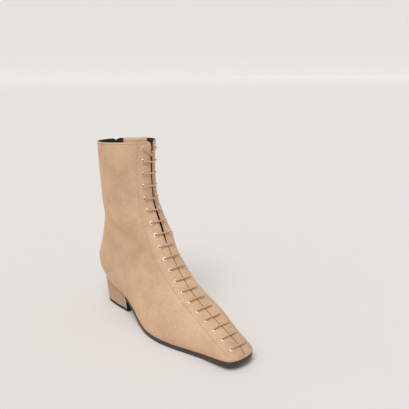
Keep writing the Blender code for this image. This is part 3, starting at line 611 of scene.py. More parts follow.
def grained_finish(name, colour, roughness, scale=300, strength=0.2, **fixed):
    """A plain colour with a slight change of tone and a fine grain."""
    made, shader, shade = finish_of(name, colour, roughness, **fixed)
    place = shade.node("ShaderNodeTexCoord", out="Object")
    tone = noise(shade, place, scale, 3)
    base = shade.tones((tone - 0.2).held(), rgba(toned(colour, 1.15)), rgba(deeper(colour, 0.35)))
    feed(shader, base, "Base Color")
    bump(shader, shade, tone, strength)
    return made


def paper_finish(colour):
    """Studio paper with painted light: lighter on the upright wall and a little darker where it starts to
    curve up, so that it looks even from the floor to the top.
    """
    made, shader, shade = finish_of("studio paper", colour, 0.95)
    facing = shade.node("ShaderNodeNewGeometry", out="Normal")
    up = shade.node("ShaderNodeSeparateXYZ", out="Z", Vector=facing)
    feed(shader, up.ramp([(place, rgba(toned(colour, tone))) for place, tone in PAPER_TONES]), "Base Color")
    return made


FINISHES = {}


def finish(name):
    """The finish of that name, made once with the colours of the sidebar."""
    known = {
        "suede": lambda c: suede_finish("suede", c.suede),
        "plain suede": lambda c: suede_finish("plain suede", c.suede, marks=False),
        # The heel's suede is a darker copy of the suede: painted shade on the heel's wall.
        "shaded heel suede": lambda c: suede_finish("shaded heel suede", deeper(c.suede, 0.22), marks=False),
        "lace": lambda c: lace_finish(c.lace),
        "thread": lambda c: grained_finish("thread", c.thread, 0.8, 2500),
        "lining": lambda c: grained_finish("lining leather", c.lining, 0.75, 260),
        "sole": lambda c: grained_finish("sole leather", c.sole, 0.42, 180, 0.12, Coat_Weight=0.15),
        "rubber": lambda c: grained_finish("top piece rubber", c.rubber, 0.6, 400),
        "seam": lambda c: finish_of("seam shadow", toned(c.suede, 0.25), 0.95)[0],
        "nickel": lambda c: finish_of("nickel", c.nickel, 0.36, 1.0)[0],
        "eyelet shade": lambda c: finish_of("eyelet shade", deeper(c.tape, 0.7), 0.8)[0],
        "tape": lambda c: grained_finish("zip tape", c.tape, 0.9, 1200, 0.3),
        "floor": lambda c: paper_finish(c.floor),
    }
    made = FINISHES.get(name)
    if made is None:
        made = FINISHES[name] = known[name](bpy.context.scene.boot_colours)
    return made


# Meshes


def piece(name, points, faces, finishes, replaces=(), marks=None, uv=None, sharp=None, kinds=None):
    """A mesh object from design points in mm, riding on the boot."""
    mesh = bpy.data.meshes.new(name)
    mesh.from_pydata(to_model(points).tolist(), [], [[int(v) for v in face] for face in faces])
    for finish_name in finishes:
        mesh.materials.append(finish(finish_name))
    if kinds is not None:
        mesh.polygons.foreach_set("material_index", kinds)
    for mark, values in (marks or {}).items():
        layer = mesh.attributes.new(mark, "FLOAT", "POINT")
        layer.data.foreach_set("value", np.ravel(values).astype(np.float32))
    if uv is not None:
        layer = mesh.uv_layers.new(name="lace")
        corners = np.array([uv[v] for face in faces for v in face], np.float32)
        layer.data.foreach_set("uv", corners.ravel())
    mesh.shade_smooth()
    if sharp is not None:
        mesh.set_sharp_from_angle(angle=math.radians(sharp))
    mesh.update()
    made = bpy.data.objects.new(name, mesh)
    bpy.context.scene.collection.objects.link(made)
    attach(made, "boot")
    if replaces:
        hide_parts(*replaces)
    return made


def sheet_faces(rows, cols):
    """Faces of two grids of points, one numbered after the other, and the faces that close their rims."""
    number = np.arange(2 * rows * cols).reshape(2, rows, cols)
    skins = []
    for grid in number:
        for i in range(rows - 1):
            for j in range(cols - 1):
                skins.append([grid[i, j], grid[i, j + 1], grid[i + 1, j + 1], grid[i + 1, j]])
    rim = [(0, j) for j in range(cols)]
    rim += [(i, cols - 1) for i in range(1, rows)]
    rim += [(rows - 1, j) for j in range(cols - 2, -1, -1)]
    rim += [(i, 0) for i in range(rows - 2, 0, -1)]
    walls = []
    for here, there in zip(rim, rim[1:] + rim[:1]):
        walls.append([number[0][here], number[0][there], number[1][there], number[1][here]])
    return skins, walls


def joined(parts):
    """One list of points and of faces from several (points, faces)."""
    points, faces, start = [], [], 0
    for part_points, part_faces in parts:
        points.append(np.asarray(part_points, float))
        faces += [[start + v for v in face] for face in part_faces]
        start += len(part_points)
    return np.concatenate(points), faces


def frame_on(normal, forward):
    """Two unit vectors across the normal, the first one near forward."""
    first = forward - normal * (forward @ normal)
    first = first / np.linalg.norm(first)
    return first, np.cross(normal, first)


def ring_mesh(centre, normal, profile, sides):
    """The closed profile of (radius, height) points turned about the normal through the centre."""
    first, second = frame_on(normal, np.array([0.3, 0.1, 1.0]))
    turns = 2 * math.pi * np.arange(sides) / sides
    spokes = np.cos(turns)[:, None] * first + np.sin(turns)[:, None] * second
    profile = np.array(profile)
    points = centre + profile[None, :, :1] * spokes[:, None, :] + profile[None, :, 1:] * normal
    count, faces = len(profile), []
    for k in range(sides):
        here, there = k * count, (k + 1) % sides * count
        for m in range(count):
            n = (m + 1) % count
            faces.append([here + m, here + n, there + n, there + m])
    return points.reshape(-1, 3), faces


def tube_mesh(route, radius, sides):
    """A closed tube along the route, with marks that run along it in mm and round it once."""
    route = np.asarray(route, float)
    steps = np.diff(route, axis=0)
    lengths = np.linalg.norm(steps, axis=1)
    steps = steps / lengths[:, None]
    tangents = np.concatenate([steps[:1], steps[1:] + steps[:-1], steps[-1:]])
    tangents = tangents / np.linalg.norm(tangents, axis=1, keepdims=True)
    run = np.concatenate([[0], np.cumsum(lengths)])
    across = np.cross(tangents[0], (0.2, 0.3, 1.0))
    points, marks = [], []
    turns = 2 * math.pi * np.arange(sides) / sides
    for centre, tangent, place in zip(route, tangents, run):
        across = across - tangent * (across @ tangent)
        across = across / np.linalg.norm(across)
        other = np.cross(tangent, across)
        points.append(centre + radius * (np.cos(turns)[:, None] * across + np.sin(turns)[:, None] * other))
        marks += [(place, k / sides) for k in range(sides)]
    faces = []
    for ring in range(len(route) - 1):
        for k in range(sides):
            n = (k + 1) % sides
            here, there = ring * sides, (ring + 1) * sides
            faces.append([here + k, here + n, there + n, there + k])
    total = len(route) * sides
    faces.append(list(range(sides))[::-1])
    faces.append([total - sides + k for k in range(sides)])
    return np.concatenate(points), faces, marks


def bend(corner, before, after, radius, steps):
    """Points round the corner from the direction before to the direction after, on an arc of that radius."""
    angle = math.acos(float(np.clip(before @ after, -1, 1)))
    back = radius * math.tan(angle / 2)
    inward = after - before * (before @ after)
    inward = inward / np.linalg.norm(inward)
    start = corner - back * before
    centre = start + radius * inward
    points = []
    for k in range(steps + 1):
        turn = angle * k / steps
        points.append(centre - radius * math.cos(turn) * inward + radius * math.sin(turn) * before)
    return points


def rounded(corners, steps=6):
    """The lace's route through the corners, each turned on an arc."""
    corners = [np.asarray(c, float) for c in corners]
    route = [corners[0]]
    for last, corner, following in zip(corners, corners[1:], corners[2:]):
        before = (corner - last) / np.linalg.norm(corner - last)
        after = (following - corner) / np.linalg.norm(following - corner)
        if before @ after > STRAIGHT_ENOUGH:
            route.append(corner)
        else:
            route += bend(corner, before, after, LACE_BEND, steps)
    return [*route, corners[-1]]


# Upper

# Where the mesh has rows on a rolled edge: mm from it, and section places below the collar.
ROLL = np.array([0.0, 0.15, 0.4, 0.8, 1.3])
ROLL_PLACES = (0, 0.004, 0.011, 0.022, 0.036)
ROLL_DEPTH = 0.7
FIRST_ROW = 0.05
LEAST_STEP = 0.0035
# Cells across the zip, and how far down the wall's normal points at least at the end of a section.
ZIP_CELLS = 4
LEAST_END_DROP = -0.15
# The front seam's groove: depth in mm, and its width in cells.
GROOVE_DEPTH = 0.55
GROOVE_CELLS = 1.6
SEAM_MARKS = (1.0, 0.35)


def upper_places(step_mm):
    """Section places whose rows lie about that far apart, at the ridge or at the end line."""
    fine = np.linspace(0, TOE_TIP, 4801)
    ridge = np.hypot(np.diff(column("ridge_u", fine)), np.diff(column("ridge_z", fine)))
    end = np.hypot(np.diff(column("end_u", fine)), np.diff(column("end_z", fine)))
    run = np.concatenate([[0], np.cumsum(np.maximum(ridge, 0.8 * end))])
    rows = np.interp(np.arange(0, run[-1], step_mm), run, fine)
    keep = [THROAT_FOOT, ZIP_FOOT, TOE_TIP - 0.4, TOE_TIP - 0.15, TOE_TIP]
    rows = np.unique(np.concatenate([ROLL_PLACES, rows[rows > FIRST_ROW], keep]))
    apart = np.concatenate([[True], np.diff(rows) > LEAST_STEP])
    return rows[apart | np.isin(rows, keep)]


def side_columns(t, side, low_cells, cells):
    """Angles from the throat edge to the end line at place t, close together at the rolled edges."""
    start = throat_gap(t) if t <= THROAT_FOOT else SEAM_HALF * min(1, (TOE_TIP - t) / 2)
    shrink = min(1.0, max(TOE_TIP - t, 0.0) / 2 + 0.02)
    edge = angle_of_offset(t, side, start + ROLL * shrink)
    end = end_angle(t, side)
    if side == "lateral":
        rest = edge[-1] + (end - edge[-1]) * np.linspace(0, 1, low_cells + cells + 9)[1:]
        return np.concatenate([edge, rest])
    half = zip_half(t)
    front = zip_angle(t, -half - ROLL[::-1] * shrink)
    back = zip_angle(t, half + ROLL * shrink)
    middle = zip_angle(t, np.linspace(-half, half, 5)[1:-1])
    front, middle, back = (np.clip(a, edge[-1] + 0.001, end - 0.001) for a in (front, middle, back))
    first = edge[-1] + (front[0] - edge[-1]) * np.linspace(0, 1, cells + 1)[1:-1]
    last = back[-1] + (end - back[-1]) * np.linspace(0, 1, low_cells + 1)[1:]
    return np.concatenate([edge, first, front, middle, back, last])


def skin_row(t, side, angles, near, first_zip):
    """One side's part of a row: points and normals, how deep its skin lies, and its painted crease shade and
    seam marks.
    """
    suede = near < WALL
    places = t + corner_drop(t, side, angles)
    points, normals = surface(places, side, angles), outward(places, side, angles)
    if t <= SEAT_BACK:
        normals[-1, 1] = 0
    else:
        normals[-1, 2] = min(normals[-1, 2], LEAST_END_DROP)
    normals[-1] /= np.linalg.norm(normals[-1])
    if t > TOE_TIP - 0.01:
        normals[:] = (1, 0, 0)
    depth, dark = creasing(points, side)
    seam = np.zeros(len(angles))
    if t > THROAT_FOOT:
        groove = np.exp(-((np.arange(len(angles)) / GROOVE_CELLS) ** 2))
        depth = depth + GROOVE_DEPTH * groove * min(1, (TOE_TIP - t) * 2)
        seam[0:2] = SEAM_MARKS
    elif suede:
        depth[: len(ROLL)] += rolled_down(ROLL)
    if t < ZIP_FOOT and side == "medial" and suede:
        depth[first_zip - len(ROLL) + 1 : first_zip + 1] += rolled_down(ROLL[::-1])
        depth[first_zip + ZIP_CELLS : first_zip + ZIP_CELLS + len(ROLL)] += rolled_down(ROLL)
    if suede:
        depth = depth + rolled_down(t * TOP_ROW_MM)
    return points, normals, near + depth, dark, seam


def layer_faces(places, cols, throat_cell, zip_cell):
    """Faces of a layer's near grid, open at the throat and the zip, and walls to its far grid round them."""
    number = np.arange(2 * len(places) * cols).reshape(2, len(places), cols)

    def open_cell(i, j):
        place = (places[i] + places[i + 1]) / 2
        in_throat = j == throat_cell and place < THROAT_FOOT
        in_zip = zip_cell <= j < zip_cell + ZIP_CELLS and place < ZIP_FOOT
        return in_throat or in_zip

    def wall(i, j, k, m):
        return [number[0, i, j], number[0, k, m], number[1, k, m], number[1, i, j]]

    faces = []
    for i in range(len(places) - 1):
        for j in range(cols - 1):
            if open_cell(i, j):
                continue
            faces.append([number[0, i, j], number[0, i, j + 1], number[0, i + 1, j + 1], number[0, i + 1, j]])
            if i == 0 or open_cell(i - 1, j):
                faces.append(wall(i, j, i, j + 1))
            if i + 2 < len(places) and open_cell(i + 1, j):
                faces.append(wall(i + 1, j, i + 1, j + 1))
            if j and open_cell(i, j - 1):
                faces.append(wall(i, j, i + 1, j))
            if j + 2 < cols and open_cell(i, j + 1):
                faces.append(wall(i, j + 1, i + 1, j + 1))
        if places[i] >= SEAT_BACK:
            faces.append(wall(i, 0, i + 1, 0))
            faces.append(wall(i, cols - 1, i + 1, cols - 1))
    return faces


def upper_skin(name, step_mm, low_cells, cells, near, finish_name, slot, replaces=()):
    """One layer of the upper: its skin at the depth near, turned in at the openings to the suede's depth."""
    places = upper_places(step_mm)
    first_zip = len(ROLL) + cells - 1 + len(ROLL) - 1
    middle = len(ROLL) + low_cells + cells + 8
    grids = {"near": [], "far": [], "crease": [], "seam": []}
    for t in places:
        rows = {key: [] for key in grids}
        for side in SIDES:
            angles = side_columns(t, side, low_cells, cells)
            points, normals, depth, dark, seam = skin_row(t, side, angles, near, first_zip)
            layers = {"near": points - depth[:, None] * normals, "far": points - SUEDE_THICK * normals}
            if t <= SEAT_BACK:
                for moved in layers.values():
                    moved[-1, 1] = 0
            for key, values in {**layers, "crease": dark, "seam": seam}.items():
                rows[key].append(values[::-1] if side == "lateral" else values)
        for key, both in rows.items():
            grids[key].append(np.concatenate(both))
    faces = layer_faces(places, len(grids["near"][0]), middle - 1, middle + first_zip)
    points = np.concatenate([*grids["near"], *grids["far"]])
    marks = {}
    # The crease mark is painted shade; the seam mark is the front seam's line.
    if near < WALL:
        marks = {key: np.concatenate([np.ravel(grids[key])] * 2) for key in ("crease", "seam")}
    return piece(name, points, faces, [finish_name], replaces=replaces, marks=marks, sharp=50)


def corner_drop(t, side, angles):
    """How much further down the section place goes where the facing's top corner is rounded."""
    off = np.abs(surface(t, side, angles)[..., 1] - surface(t, side, angles[0])[..., 1])
    left = np.clip(CORNER_RADIUS - off, 0, CORNER_RADIUS)
    drop = CORNER_RADIUS - np.sqrt(CORNER_RADIUS**2 - left**2)
    return drop / TOP_ROW_MM * max(0.0, 1 - t / CORNER_FADE)


def rolled_down(distance):
    """How far a rolled edge falls away, by the distance in mm from the edge."""
    left = np.clip(1 - np.asarray(distance) / ROLL[-1], 0, 1)
    return ROLL_DEPTH * (1 - np.sqrt(1 - left**2))


# Lace and eyelets


def eyelet_places():
    """The section place of each pair of eyelets, at even steps along the ridge."""
    places = np.linspace(0, TOE_TIP, 1200)
    u, z = column("ridge_u", places), column("ridge_z", places)
    run = np.concatenate([[0], np.cumsum(np.hypot(np.diff(u), np.diff(z)))])
    wanted = FIRST_EYELET_DOWN + EYELET_PITCH * np.arange(EYELET_PAIRS)
    return np.interp(wanted, run, places)


def eyelet_spot(t, side):
    angle = angle_of_offset(t, side, EYELET_OFF_RIDGE)
    return surface(t, side, angle), outward(t, side, angle)


def over_and_under(t, side):
    """The lace's two corners at an eyelet: above the ring and behind the facing."""
    centre, normal = eyelet_spot(t, side)
    return centre + LACE_OVER * normal, centre - LACE_UNDER * normal


def bar_middle(t):
    """The point where a bar crosses the ridge."""
    ridge = surface(t, "lateral", 0.0)
    normal = outward(t, "lateral", 0.02)
    normal[1] = 0
    return ridge + LACE_OVER * normal


def lace_corners():
    """The lace from the toe to the second pair: over a bar, through the facing, up behind it and over."""
    corners = []
    uneven = np.random.default_rng(LACE_SEED).uniform(-BAR_UNEVEN, BAR_UNEVEN, EYELET_PAIRS)
    for count, t in enumerate(list(eyelet_places())[::-1][:-1]):
        first, second = ("lateral", "medial") if count % 2 == 0 else ("medial", "lateral")
        first_over, first_under = over_and_under(t, first)
        second_over, second_under = over_and_under(t, second)
        if count == 0:
            corners.append(first_under + FIRST_RUN_IN * (first_under - first_over) / LACE_UNDER)
        else:
            corners.append(first_under)
        middle = bar_middle(t) + np.array([0.0, 0.0, uneven[count]])
        if count == EYELET_PAIRS - 2:
            middle = middle + np.array(LOOSE_BAR)
        corners += [first_over, middle, second_over, second_under]
    return corners


def lace_end_route(side):
    """From behind the second eyelet up and out of the top one, down the facing and in through the throat."""
    top, second = eyelet_places()[:2]
    over, under = over_and_under(top, side)
    start = over_and_under(second, side)[1]
    upward = (under - start) / np.linalg.norm(under - start)
    lip_t = top + END_GOES_IN[side]
    lip = surface(lip_t, side, angle_of_offset(lip_t, side, 0.0))
    back, down = END_INSIDE
    inside = lip + np.array([back, -BETWEEN_LIPS, down])
    lip = lip + np.array([LACE_OVER, -BETWEEN_LIPS, 0.0])
    return rounded([start + END_STARTS_UP * upward, under, over, lip, inside], steps=4)


def cord_piece(side):
    """One end of the lace as a cord along the route of its CAD node."""
    name = f"lace_end_{side}_plaited"
    curve = bpy.data.curves.new(name, "CURVE")
    curve.dimensions = "3D"
    curve.bevel_depth = LACE_RADIUS * MM
    curve.bevel_resolution = 3
    curve.use_fill_caps = True
    route = to_model(lace_end_route(side))
    spline = curve.splines.new("POLY")
    spline.points.add(len(route) - 1)
    for point, place in zip(spline.points, route):
        point.co = (*place, 1)
    curve.materials.append(finish("lace"))
    made = bpy.data.objects.new(name, curve)
    bpy.context.scene.collection.objects.link(made)
    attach(made, "boot")
    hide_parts(f"lace_end_{side}")
    return made


# Stitches


def stitch_parts(points, normals, length, radius):
    """Small raised threads along a line of points, one for each stitch, as (points, faces)."""
    run = np.concatenate([[0], np.cumsum(np.linalg.norm(np.diff(points, axis=0), axis=1))])
    parts = []
    pitch = length * STITCH_PITCH
    for place in np.arange(pitch / 2, run[-1] - pitch / 2, pitch):
        ends = []
        for at in (place - length / 2, place, place + length / 2):
            ends.append([np.interp(at, run, points[:, axis]) for axis in range(3)])
        normal = np.array([np.interp(place, run, normals[:, axis]) for axis in range(3)])
        low, top, high = (np.array(p) for p in ends)
        along = (high - low) / np.linalg.norm(high - low)
        side = np.cross(along, normal)
        ring = []
        for centre, (lift, wide) in zip((low, top, high), STITCH_RINGS):
            middle = centre + lift * radius * normal
            for across, up in ((1, 0), (0.5, 0.8), (-0.5, 0.8), (-1, 0)):
                ring.append(middle + radius * wide * (across * side + up * normal))
        faces = []
        for start in (0, 4):
            faces += [[start + k, start + k + 1, start + k + 5, start + k + 4] for k in range(3)]
        faces += [[3, 2, 1, 0], [8, 9, 10, 11]]
        parts.append((np.array(ring), faces))
    return parts


def line_on(side, places, offset):
    """Points and normals along the upper, that many mm off the ridge."""
    places = np.asarray(places, float)
    angles = angle_of_offset(places, side, offset)
    return skin(places, side, angles)


def stitch_lines():
    """Each row of stitches on the upper, as its points and normals."""
    return [*throat_stitches(), *collar_stitches(), *zip_stitches()]


def throat_stitches():
    """On each side, the row outside the eyelets and the row along the throat's edge."""
    lines = []
    row_places, row_offsets = zip(*STITCH_ROW)
    for side in SIDES:
        places = np.linspace(0.06, row_places[-1], 600)
        lines.append(line_on(side, places, np.interp(places, row_places, row_offsets)))
        places = np.linspace(0.17, THROAT_FOOT, 300)
        lines.append(line_on(side, places, throat_gap(places) + STITCH_MARGIN))
    return lines


def collar_stitches():
    """Rows round the collar, which stop at the throat and at the zip."""
    place = COLLAR_STITCH_DOWN / TOP_ROW_MM
    to_zip = ZIP_HALF_TOP + COLLAR_STITCH_FROM_ZIP
    starts = {side: angle_of_offset(place, side, COLLAR_STITCH_FROM_RIDGE) for side in SIDES}
    spans = [
        ("lateral", starts["lateral"], end_angle(place, "lateral")),
        ("medial", starts["medial"], zip_angle(place, -to_zip)),
        ("medial", zip_angle(place, to_zip), end_angle(place, "medial")),
    ]
    stations = 160
    return [
        skin(np.full(stations, place), side, np.linspace(float(low), float(high), stations))
        for side, low, high in spans
    ]


def zip_stitches():
    """Rows on both sides of the zip and across its foot."""
    foot = ZIP_FOOT + 0.12
    places = np.linspace(0.08, foot, 400)
    off = zip_half(places) + STITCH_MARGIN
    lines = [skin(places, "medial", zip_angle(places, sign * off)) for sign in (-1, 1)]
    across = np.linspace(-1, 1, 24) * (ZIP_HALF_LOW + STITCH_MARGIN)
    lines.append(skin(np.full(len(across), foot), "medial", zip_angle(foot, across)))
    return lines


# Sole and heel


def inset_edge(places, inset):
    """Feather edge points of both sides moved inwards in plan, as (lateral, medial) pairs."""
    pairs = []
    for side, sign in SIDES.items():
        edge = feather(places, side)
        step = 0.02
        ahead = feather(np.minimum(places + step, TOE_TIP), side)
        behind = feather(np.maximum(places - step, SEAT_BACK), side)
        along = (ahead - behind)[:, :2]
        along = along / np.linalg.norm(along, axis=1, keepdims=True)
        inward = np.stack([sign * along[:, 1], -sign * along[:, 0]], -1)
        moved = edge.copy()
        moved[:, :2] += inset * inward
        moved[:, 1] = sign * np.maximum(sign * moved[:, 1], 0)
        pairs.append(moved)
    return np.stack(pairs, 1)


def sole_bottom(u, top):
    """Underside height: thin under the waist, flat on the ground at the ball, rising at the toe."""
    waist = np.clip((WAIST_ENDS - u) / WAIST_FADE, 0, 1)
    thick = SOLE_THICK + (WAIST_THICK - SOLE_THICK) * waist
    flat = (u > TREAD[0]) & (u < TREAD[1])
    return np.where(flat, 0.0, np.maximum(top - thick, 0.0))


def levels_mesh(levels, across):
    """A solid from levels of (lateral, medial) pairs, closed with that many cells across, and its kinds.

    A face's kind is 1 at the last station, which is the heel's breast, and 0 elsewhere.
    """
    faces, kinds = [], []
    stations = len(levels[0])
    grid = np.arange(len(levels) * stations * 2).reshape(len(levels), stations, 2)
    points = list(np.array(levels).reshape(-1, 3))
    for upper, lower in zip(grid, grid[1:]):
        for i in range(stations - 1):
            for edge in (0, 1):
                faces.append([upper[i, edge], upper[i + 1, edge], lower[i + 1, edge], lower[i, edge]])
                kinds.append(0)
        for end in (0, stations - 1):
            faces.append([upper[end, 0], upper[end, 1], lower[end, 1], lower[end, 0]])
            kinds.append(1 if end else 0)
    for level in (0, -1):
        shares = np.linspace(0, 1, across + 1)
        rows = []
        for i in range(stations):
            low, high = np.array(levels[level][i][0]), np.array(levels[level][i][1])
            row = [grid[level, i, 0]]
            for share in shares[1:-1]:
                row.append(len(points))
                points.append(low + (high - low) * share)
            rows.append([*row, grid[level, i, 1]])
        for i in range(stations - 1):
            for j in range(across):
                faces.append([rows[i][j], rows[i][j + 1], rows[i + 1][j + 1], rows[i + 1][j]])
                kinds.append(0)
    return np.array(points), faces, kinds


def heel_station(places, share):
    """One level of the heel, from the seat at share 0 to the floor at share 1."""
    seat = inset_edge(places, TOUCH)
    seat[..., 2] -= TOUCH
    floor = seat.copy()
    back, front = column("end_u", SEAT_BACK), column("end_u", BREAST)
    stretch = (HEEL_BOTTOM_FRONT - HEEL_BOTTOM_BACK) / (front - back)
    floor[..., 0] = HEEL_BOTTOM_BACK + (seat[..., 0] - back) * stretch
    floor[..., 1] = seat[..., 1] * HEEL_BOTTOM_SHARE
    floor[..., 2] = 0
    level = seat + (floor - seat) * share
    level[-1, :, 0] -= TOUCH
    lower = np.clip((share - BREAST_HOLLOW_STARTS) / 0.8, 0, 1)
    level[-1, :, 0] -= BREAST_HOLLOW * math.sin(math.pi * lower) ** 0.8
    return level


def oriented(made):
    """Turns the faces of a closed mesh outward."""
    work = bmesh.new()
    work.from_mesh(made.data)
    bmesh.ops.remove_doubles(work, verts=work.verts, dist=0.000004)
    bmesh.ops.recalc_face_normals(work, faces=work.faces)
    work.to_mesh(made.data)
    work.free()
    return made


# Settings


def size_property(name, description, default, low, high):
    return bpy.props.FloatProperty(name=name, description=description, default=default, min=low, max=high)


def colour_property(name, description, default):
    values = {"default": default, "subtype": "COLOR", "min": 0.0, "max": 1.0}
    return bpy.props.FloatVectorProperty(name=name, description=description, **values)


class BootSizes(bpy.types.PropertyGroup):
    """Sizes that a user would change, in millimetres."""

    row_step: size_property("Row step", "Distance between the suede's mesh rows, mm", 1.7, 1.0, 6.0)
    lace_radius: size_property("Lace radius", "Radius of the round lace, mm", LACE_RADIUS, 0.6, 1.3)
    stitch_length: size_property("Stitch length", "Length of one stitch, mm", 1.7, 1.0, 5.0)
    thread_radius: size_property("Thread radius", "Half thickness of the thread, mm", 0.28, 0.1, 0.6)


class BootColours(bpy.types.PropertyGroup):
    """Colours of the boot's finishes."""

    suede: colour_property("Suede", "Beige suede of the upper, tongue and heel", (0.665, 0.447, 0.29))
    lace: colour_property("Lace", "Orange tan lace", (0.66, 0.39, 0.20))
    thread: colour_property("Thread", "Thread of the stitches", (0.40, 0.24, 0.135))
    lining: colour_property("Lining", "Dark lining and insole", (0.030, 0.024, 0.026))
    sole: colour_property("Sole", "Dark sole edge", (0.045, 0.027, 0.024))
    rubber: colour_property("Top piece", "Black top piece under the heel", (0.018, 0.016, 0.016))
    nickel: colour_property("Nickel", "Eyelets and zip slider", (0.88, 0.86, 0.84))
    tape: colour_property("Zip tape", "Taupe tape of the zip", (0.33, 0.22, 0.15))
    floor: colour_property("Paper", "Pale floor and backdrop", (0.717, 0.698, 0.684))


# Operators

# How coarse the lining's rows are against the suede's, and each layer's cells behind and in front of the zip.
LINING_COARSER = 2.2
SUEDE_CELLS = (24, 44)
LINING_CELLS = (12, 18)


class BOOT_OT_upper(bpy.types.Operator):
    """Suede of the upper, with creases, rolled edges and the front seam"""

    bl_idname = "boot.upper"
    bl_label = "Upper"

    def execute(self, context):
        step = context.scene.boot_sizes.row_step
        made = upper_skin("upper_suede", step, *SUEDE_CELLS, 0.0, "suede", "suede", ["upper"])
        punched(made)
        return {"FINISHED"}


class BOOT_OT_lining(bpy.types.Operator):
    """Dark lining inside the upper"""

    bl_idname = "boot.lining"
    bl_label = "Lining"

    def execute(self, context):
        step = LINING_COARSER * context.scene.boot_sizes.row_step
        made = upper_skin("upper_lining", step, *LINING_CELLS, WALL, "lining", "lining")
        punched(made)
        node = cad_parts["insole"]
        node.data.materials.clear()
        node.data.materials.append(finish("lining"))
        return {"FINISHED"}


def punched(made):
    """Takes the faces under each eyelet's hole out of a layer of the upper."""
    spots = [eyelet_spot(t, side) for t in eyelet_places() for side in SIDES]
    centres = to_model(np.array([spot[0] for spot in spots]))
    work = bmesh.new()
    work.from_mesh(made.data)
    gone = []
    for face in work.faces:
        middle = np.array(face.calc_center_median())
        if (np.linalg.norm(centres - middle, axis=1) < EYELET_HOLE * 0.95 * MM).any():
            gone.append(face)
    bmesh.ops.delete(work, geom=gone, context="FACES")
    work.to_mesh(made.data)
    work.free()


def tongue_edge(t, values):
    """One edge of the tongue at t, in mm off the ridge."""
    top, change, starts, ends = values
    return top + change * np.clip((t - starts) / (ends - starts), 0, 1)


class BOOT_OT_tongue(bpy.types.Operator):
    """Suede tongue behind the lateral facing"""

    bl_idname = "boot.tongue"
    bl_label = "Tongue"

    def execute(self, context):
        rows, cols = 90, 22
        points = []
        for depth, sign in ((TONGUE_DEPTH, 1), (TONGUE_DEPTH + TONGUE_THICK, -1)):
            for t in np.linspace(TONGUE_TOP, TONGUE_FOOT, rows):
                lean = max(0.0, 1 - (t - TONGUE_TOP) / TONGUE_LEAN_OVER)
                inner_edge, outer_edge = tongue_edge(t, TONGUE_INNER), tongue_edge(t, TONGUE_OUTER)
                turn = rolled_down((t - TONGUE_TOP) * TOP_ROW_MM)
                for share in np.linspace(0, 1, cols):
                    offset = outer_edge + (inner_edge - outer_edge) * share
                    side = "lateral" if offset < 0 else "medial"
                    angle = angle_of_offset(t, side, abs(offset))
                    edge = rolled_down(min(share, 1 - share) * (inner_edge - outer_edge))
                    inner = depth + TONGUE_LEAN * lean**2 + sign * min(TONGUE_MOST_ROLLED, float(edge + turn))
                    points.append(surface(t, side, angle) - inner * outward(t, side, angle))
        skins, walls = sheet_faces(rows, cols)
        made = piece("tongue_suede", np.array(points), skins + walls, ["plain suede"],
                     replaces=["tongue"])
        oriented(made)
        return {"FINISHED"}


class BOOT_OT_sole(bpy.types.Operator):
    """Thin dark outsole with a rounded, polished edge"""

    bl_idname = "boot.sole"
    bl_label = "Sole"

    def execute(self, context):
        places = np.linspace(BREAST, TOE_TIP, 200)
        u = column("end_u", places)
        top = column("end_z", places) - TOUCH
        bottom = sole_bottom(u, top)
        levels = []
        for share, inset in SOLE_EDGE:
            level = inset_edge(places, inset * SOLE_LIP)
            level[..., 2] = (top + (bottom - top) * share)[:, None]
            levels.append(level)
        points, faces, _ = levels_mesh(levels, 6)
        made = piece("outsole_leather", points, faces, ["sole"], replaces=["outsole"], sharp=40)
        oriented(made)
        return {"FINISHED"}


class BOOT_OT_heel(bpy.types.Operator):
    """Suede-wrapped heel, its suede darkened as painted shade, with a dark hollow breast, on its black top
    piece
    """

    bl_idname = "boot.heel"
    bl_label = "Heel"

    def execute(self, context):
        places = np.linspace(SEAT_BACK, BREAST, 70)
        seat_height = column("end_z", places)
        top_share = (1 - (TOP_PIECE_THICK + TOUCH) / seat_height).mean()
        levels = []
        for share in np.linspace(0, 1, 22):
            level = heel_station(places, share * top_share)
            if share == 1.0:
                level[..., 2] = TOP_PIECE_THICK + TOUCH
            levels.append(level)
        points, faces, kinds = levels_mesh(levels, 4)
        made = piece("heel_suede", points, faces, ["shaded heel suede", "rubber"], replaces=["heel_block"],
                     kinds=kinds, sharp=40)
        oriented(made)
        levels = []
        for share, inset, height in TOP_PIECE_LEVELS:
            level = heel_station(places, share)
            middle = level.mean(axis=(0, 1))
            level[..., :2] += (middle - level)[..., :2] * inset / HEEL_HEIGHT
            level[..., 2] = height
            levels.append(level)
        points, faces, _ = levels_mesh(levels, 4)
        made = piece("top_piece_rubber", points, faces, ["rubber"], replaces=["heel_top_piece"],
                     sharp=40)
        oriented(made)
        return {"FINISHED"}


class BOOT_OT_seat_seam(bpy.types.Operator):
    """Thin dark tube in the seam between the upper and the wrapped heel, painted shadow in that joint"""

    bl_idname = "boot.seat_seam"
    bl_label = "Seat seam"

    def execute(self, context):
        pairs = inset_edge(np.linspace(BREAST, SEAT_BACK, 80), SEAT_SEAM_IN)
        lateral, medial = pairs[:, 0], pairs[::-1, 1]
        route = np.concatenate([lateral, medial[1:]])
        route[:, 2] -= TOUCH / 2
        points, faces, _ = tube_mesh(route, SEAT_SEAM_RADIUS, 8)
        # A dark tube of painted shadow along the seam.
        piece("seat_seam_shadow", points, faces, ["seam"])
        return {"FINISHED"}


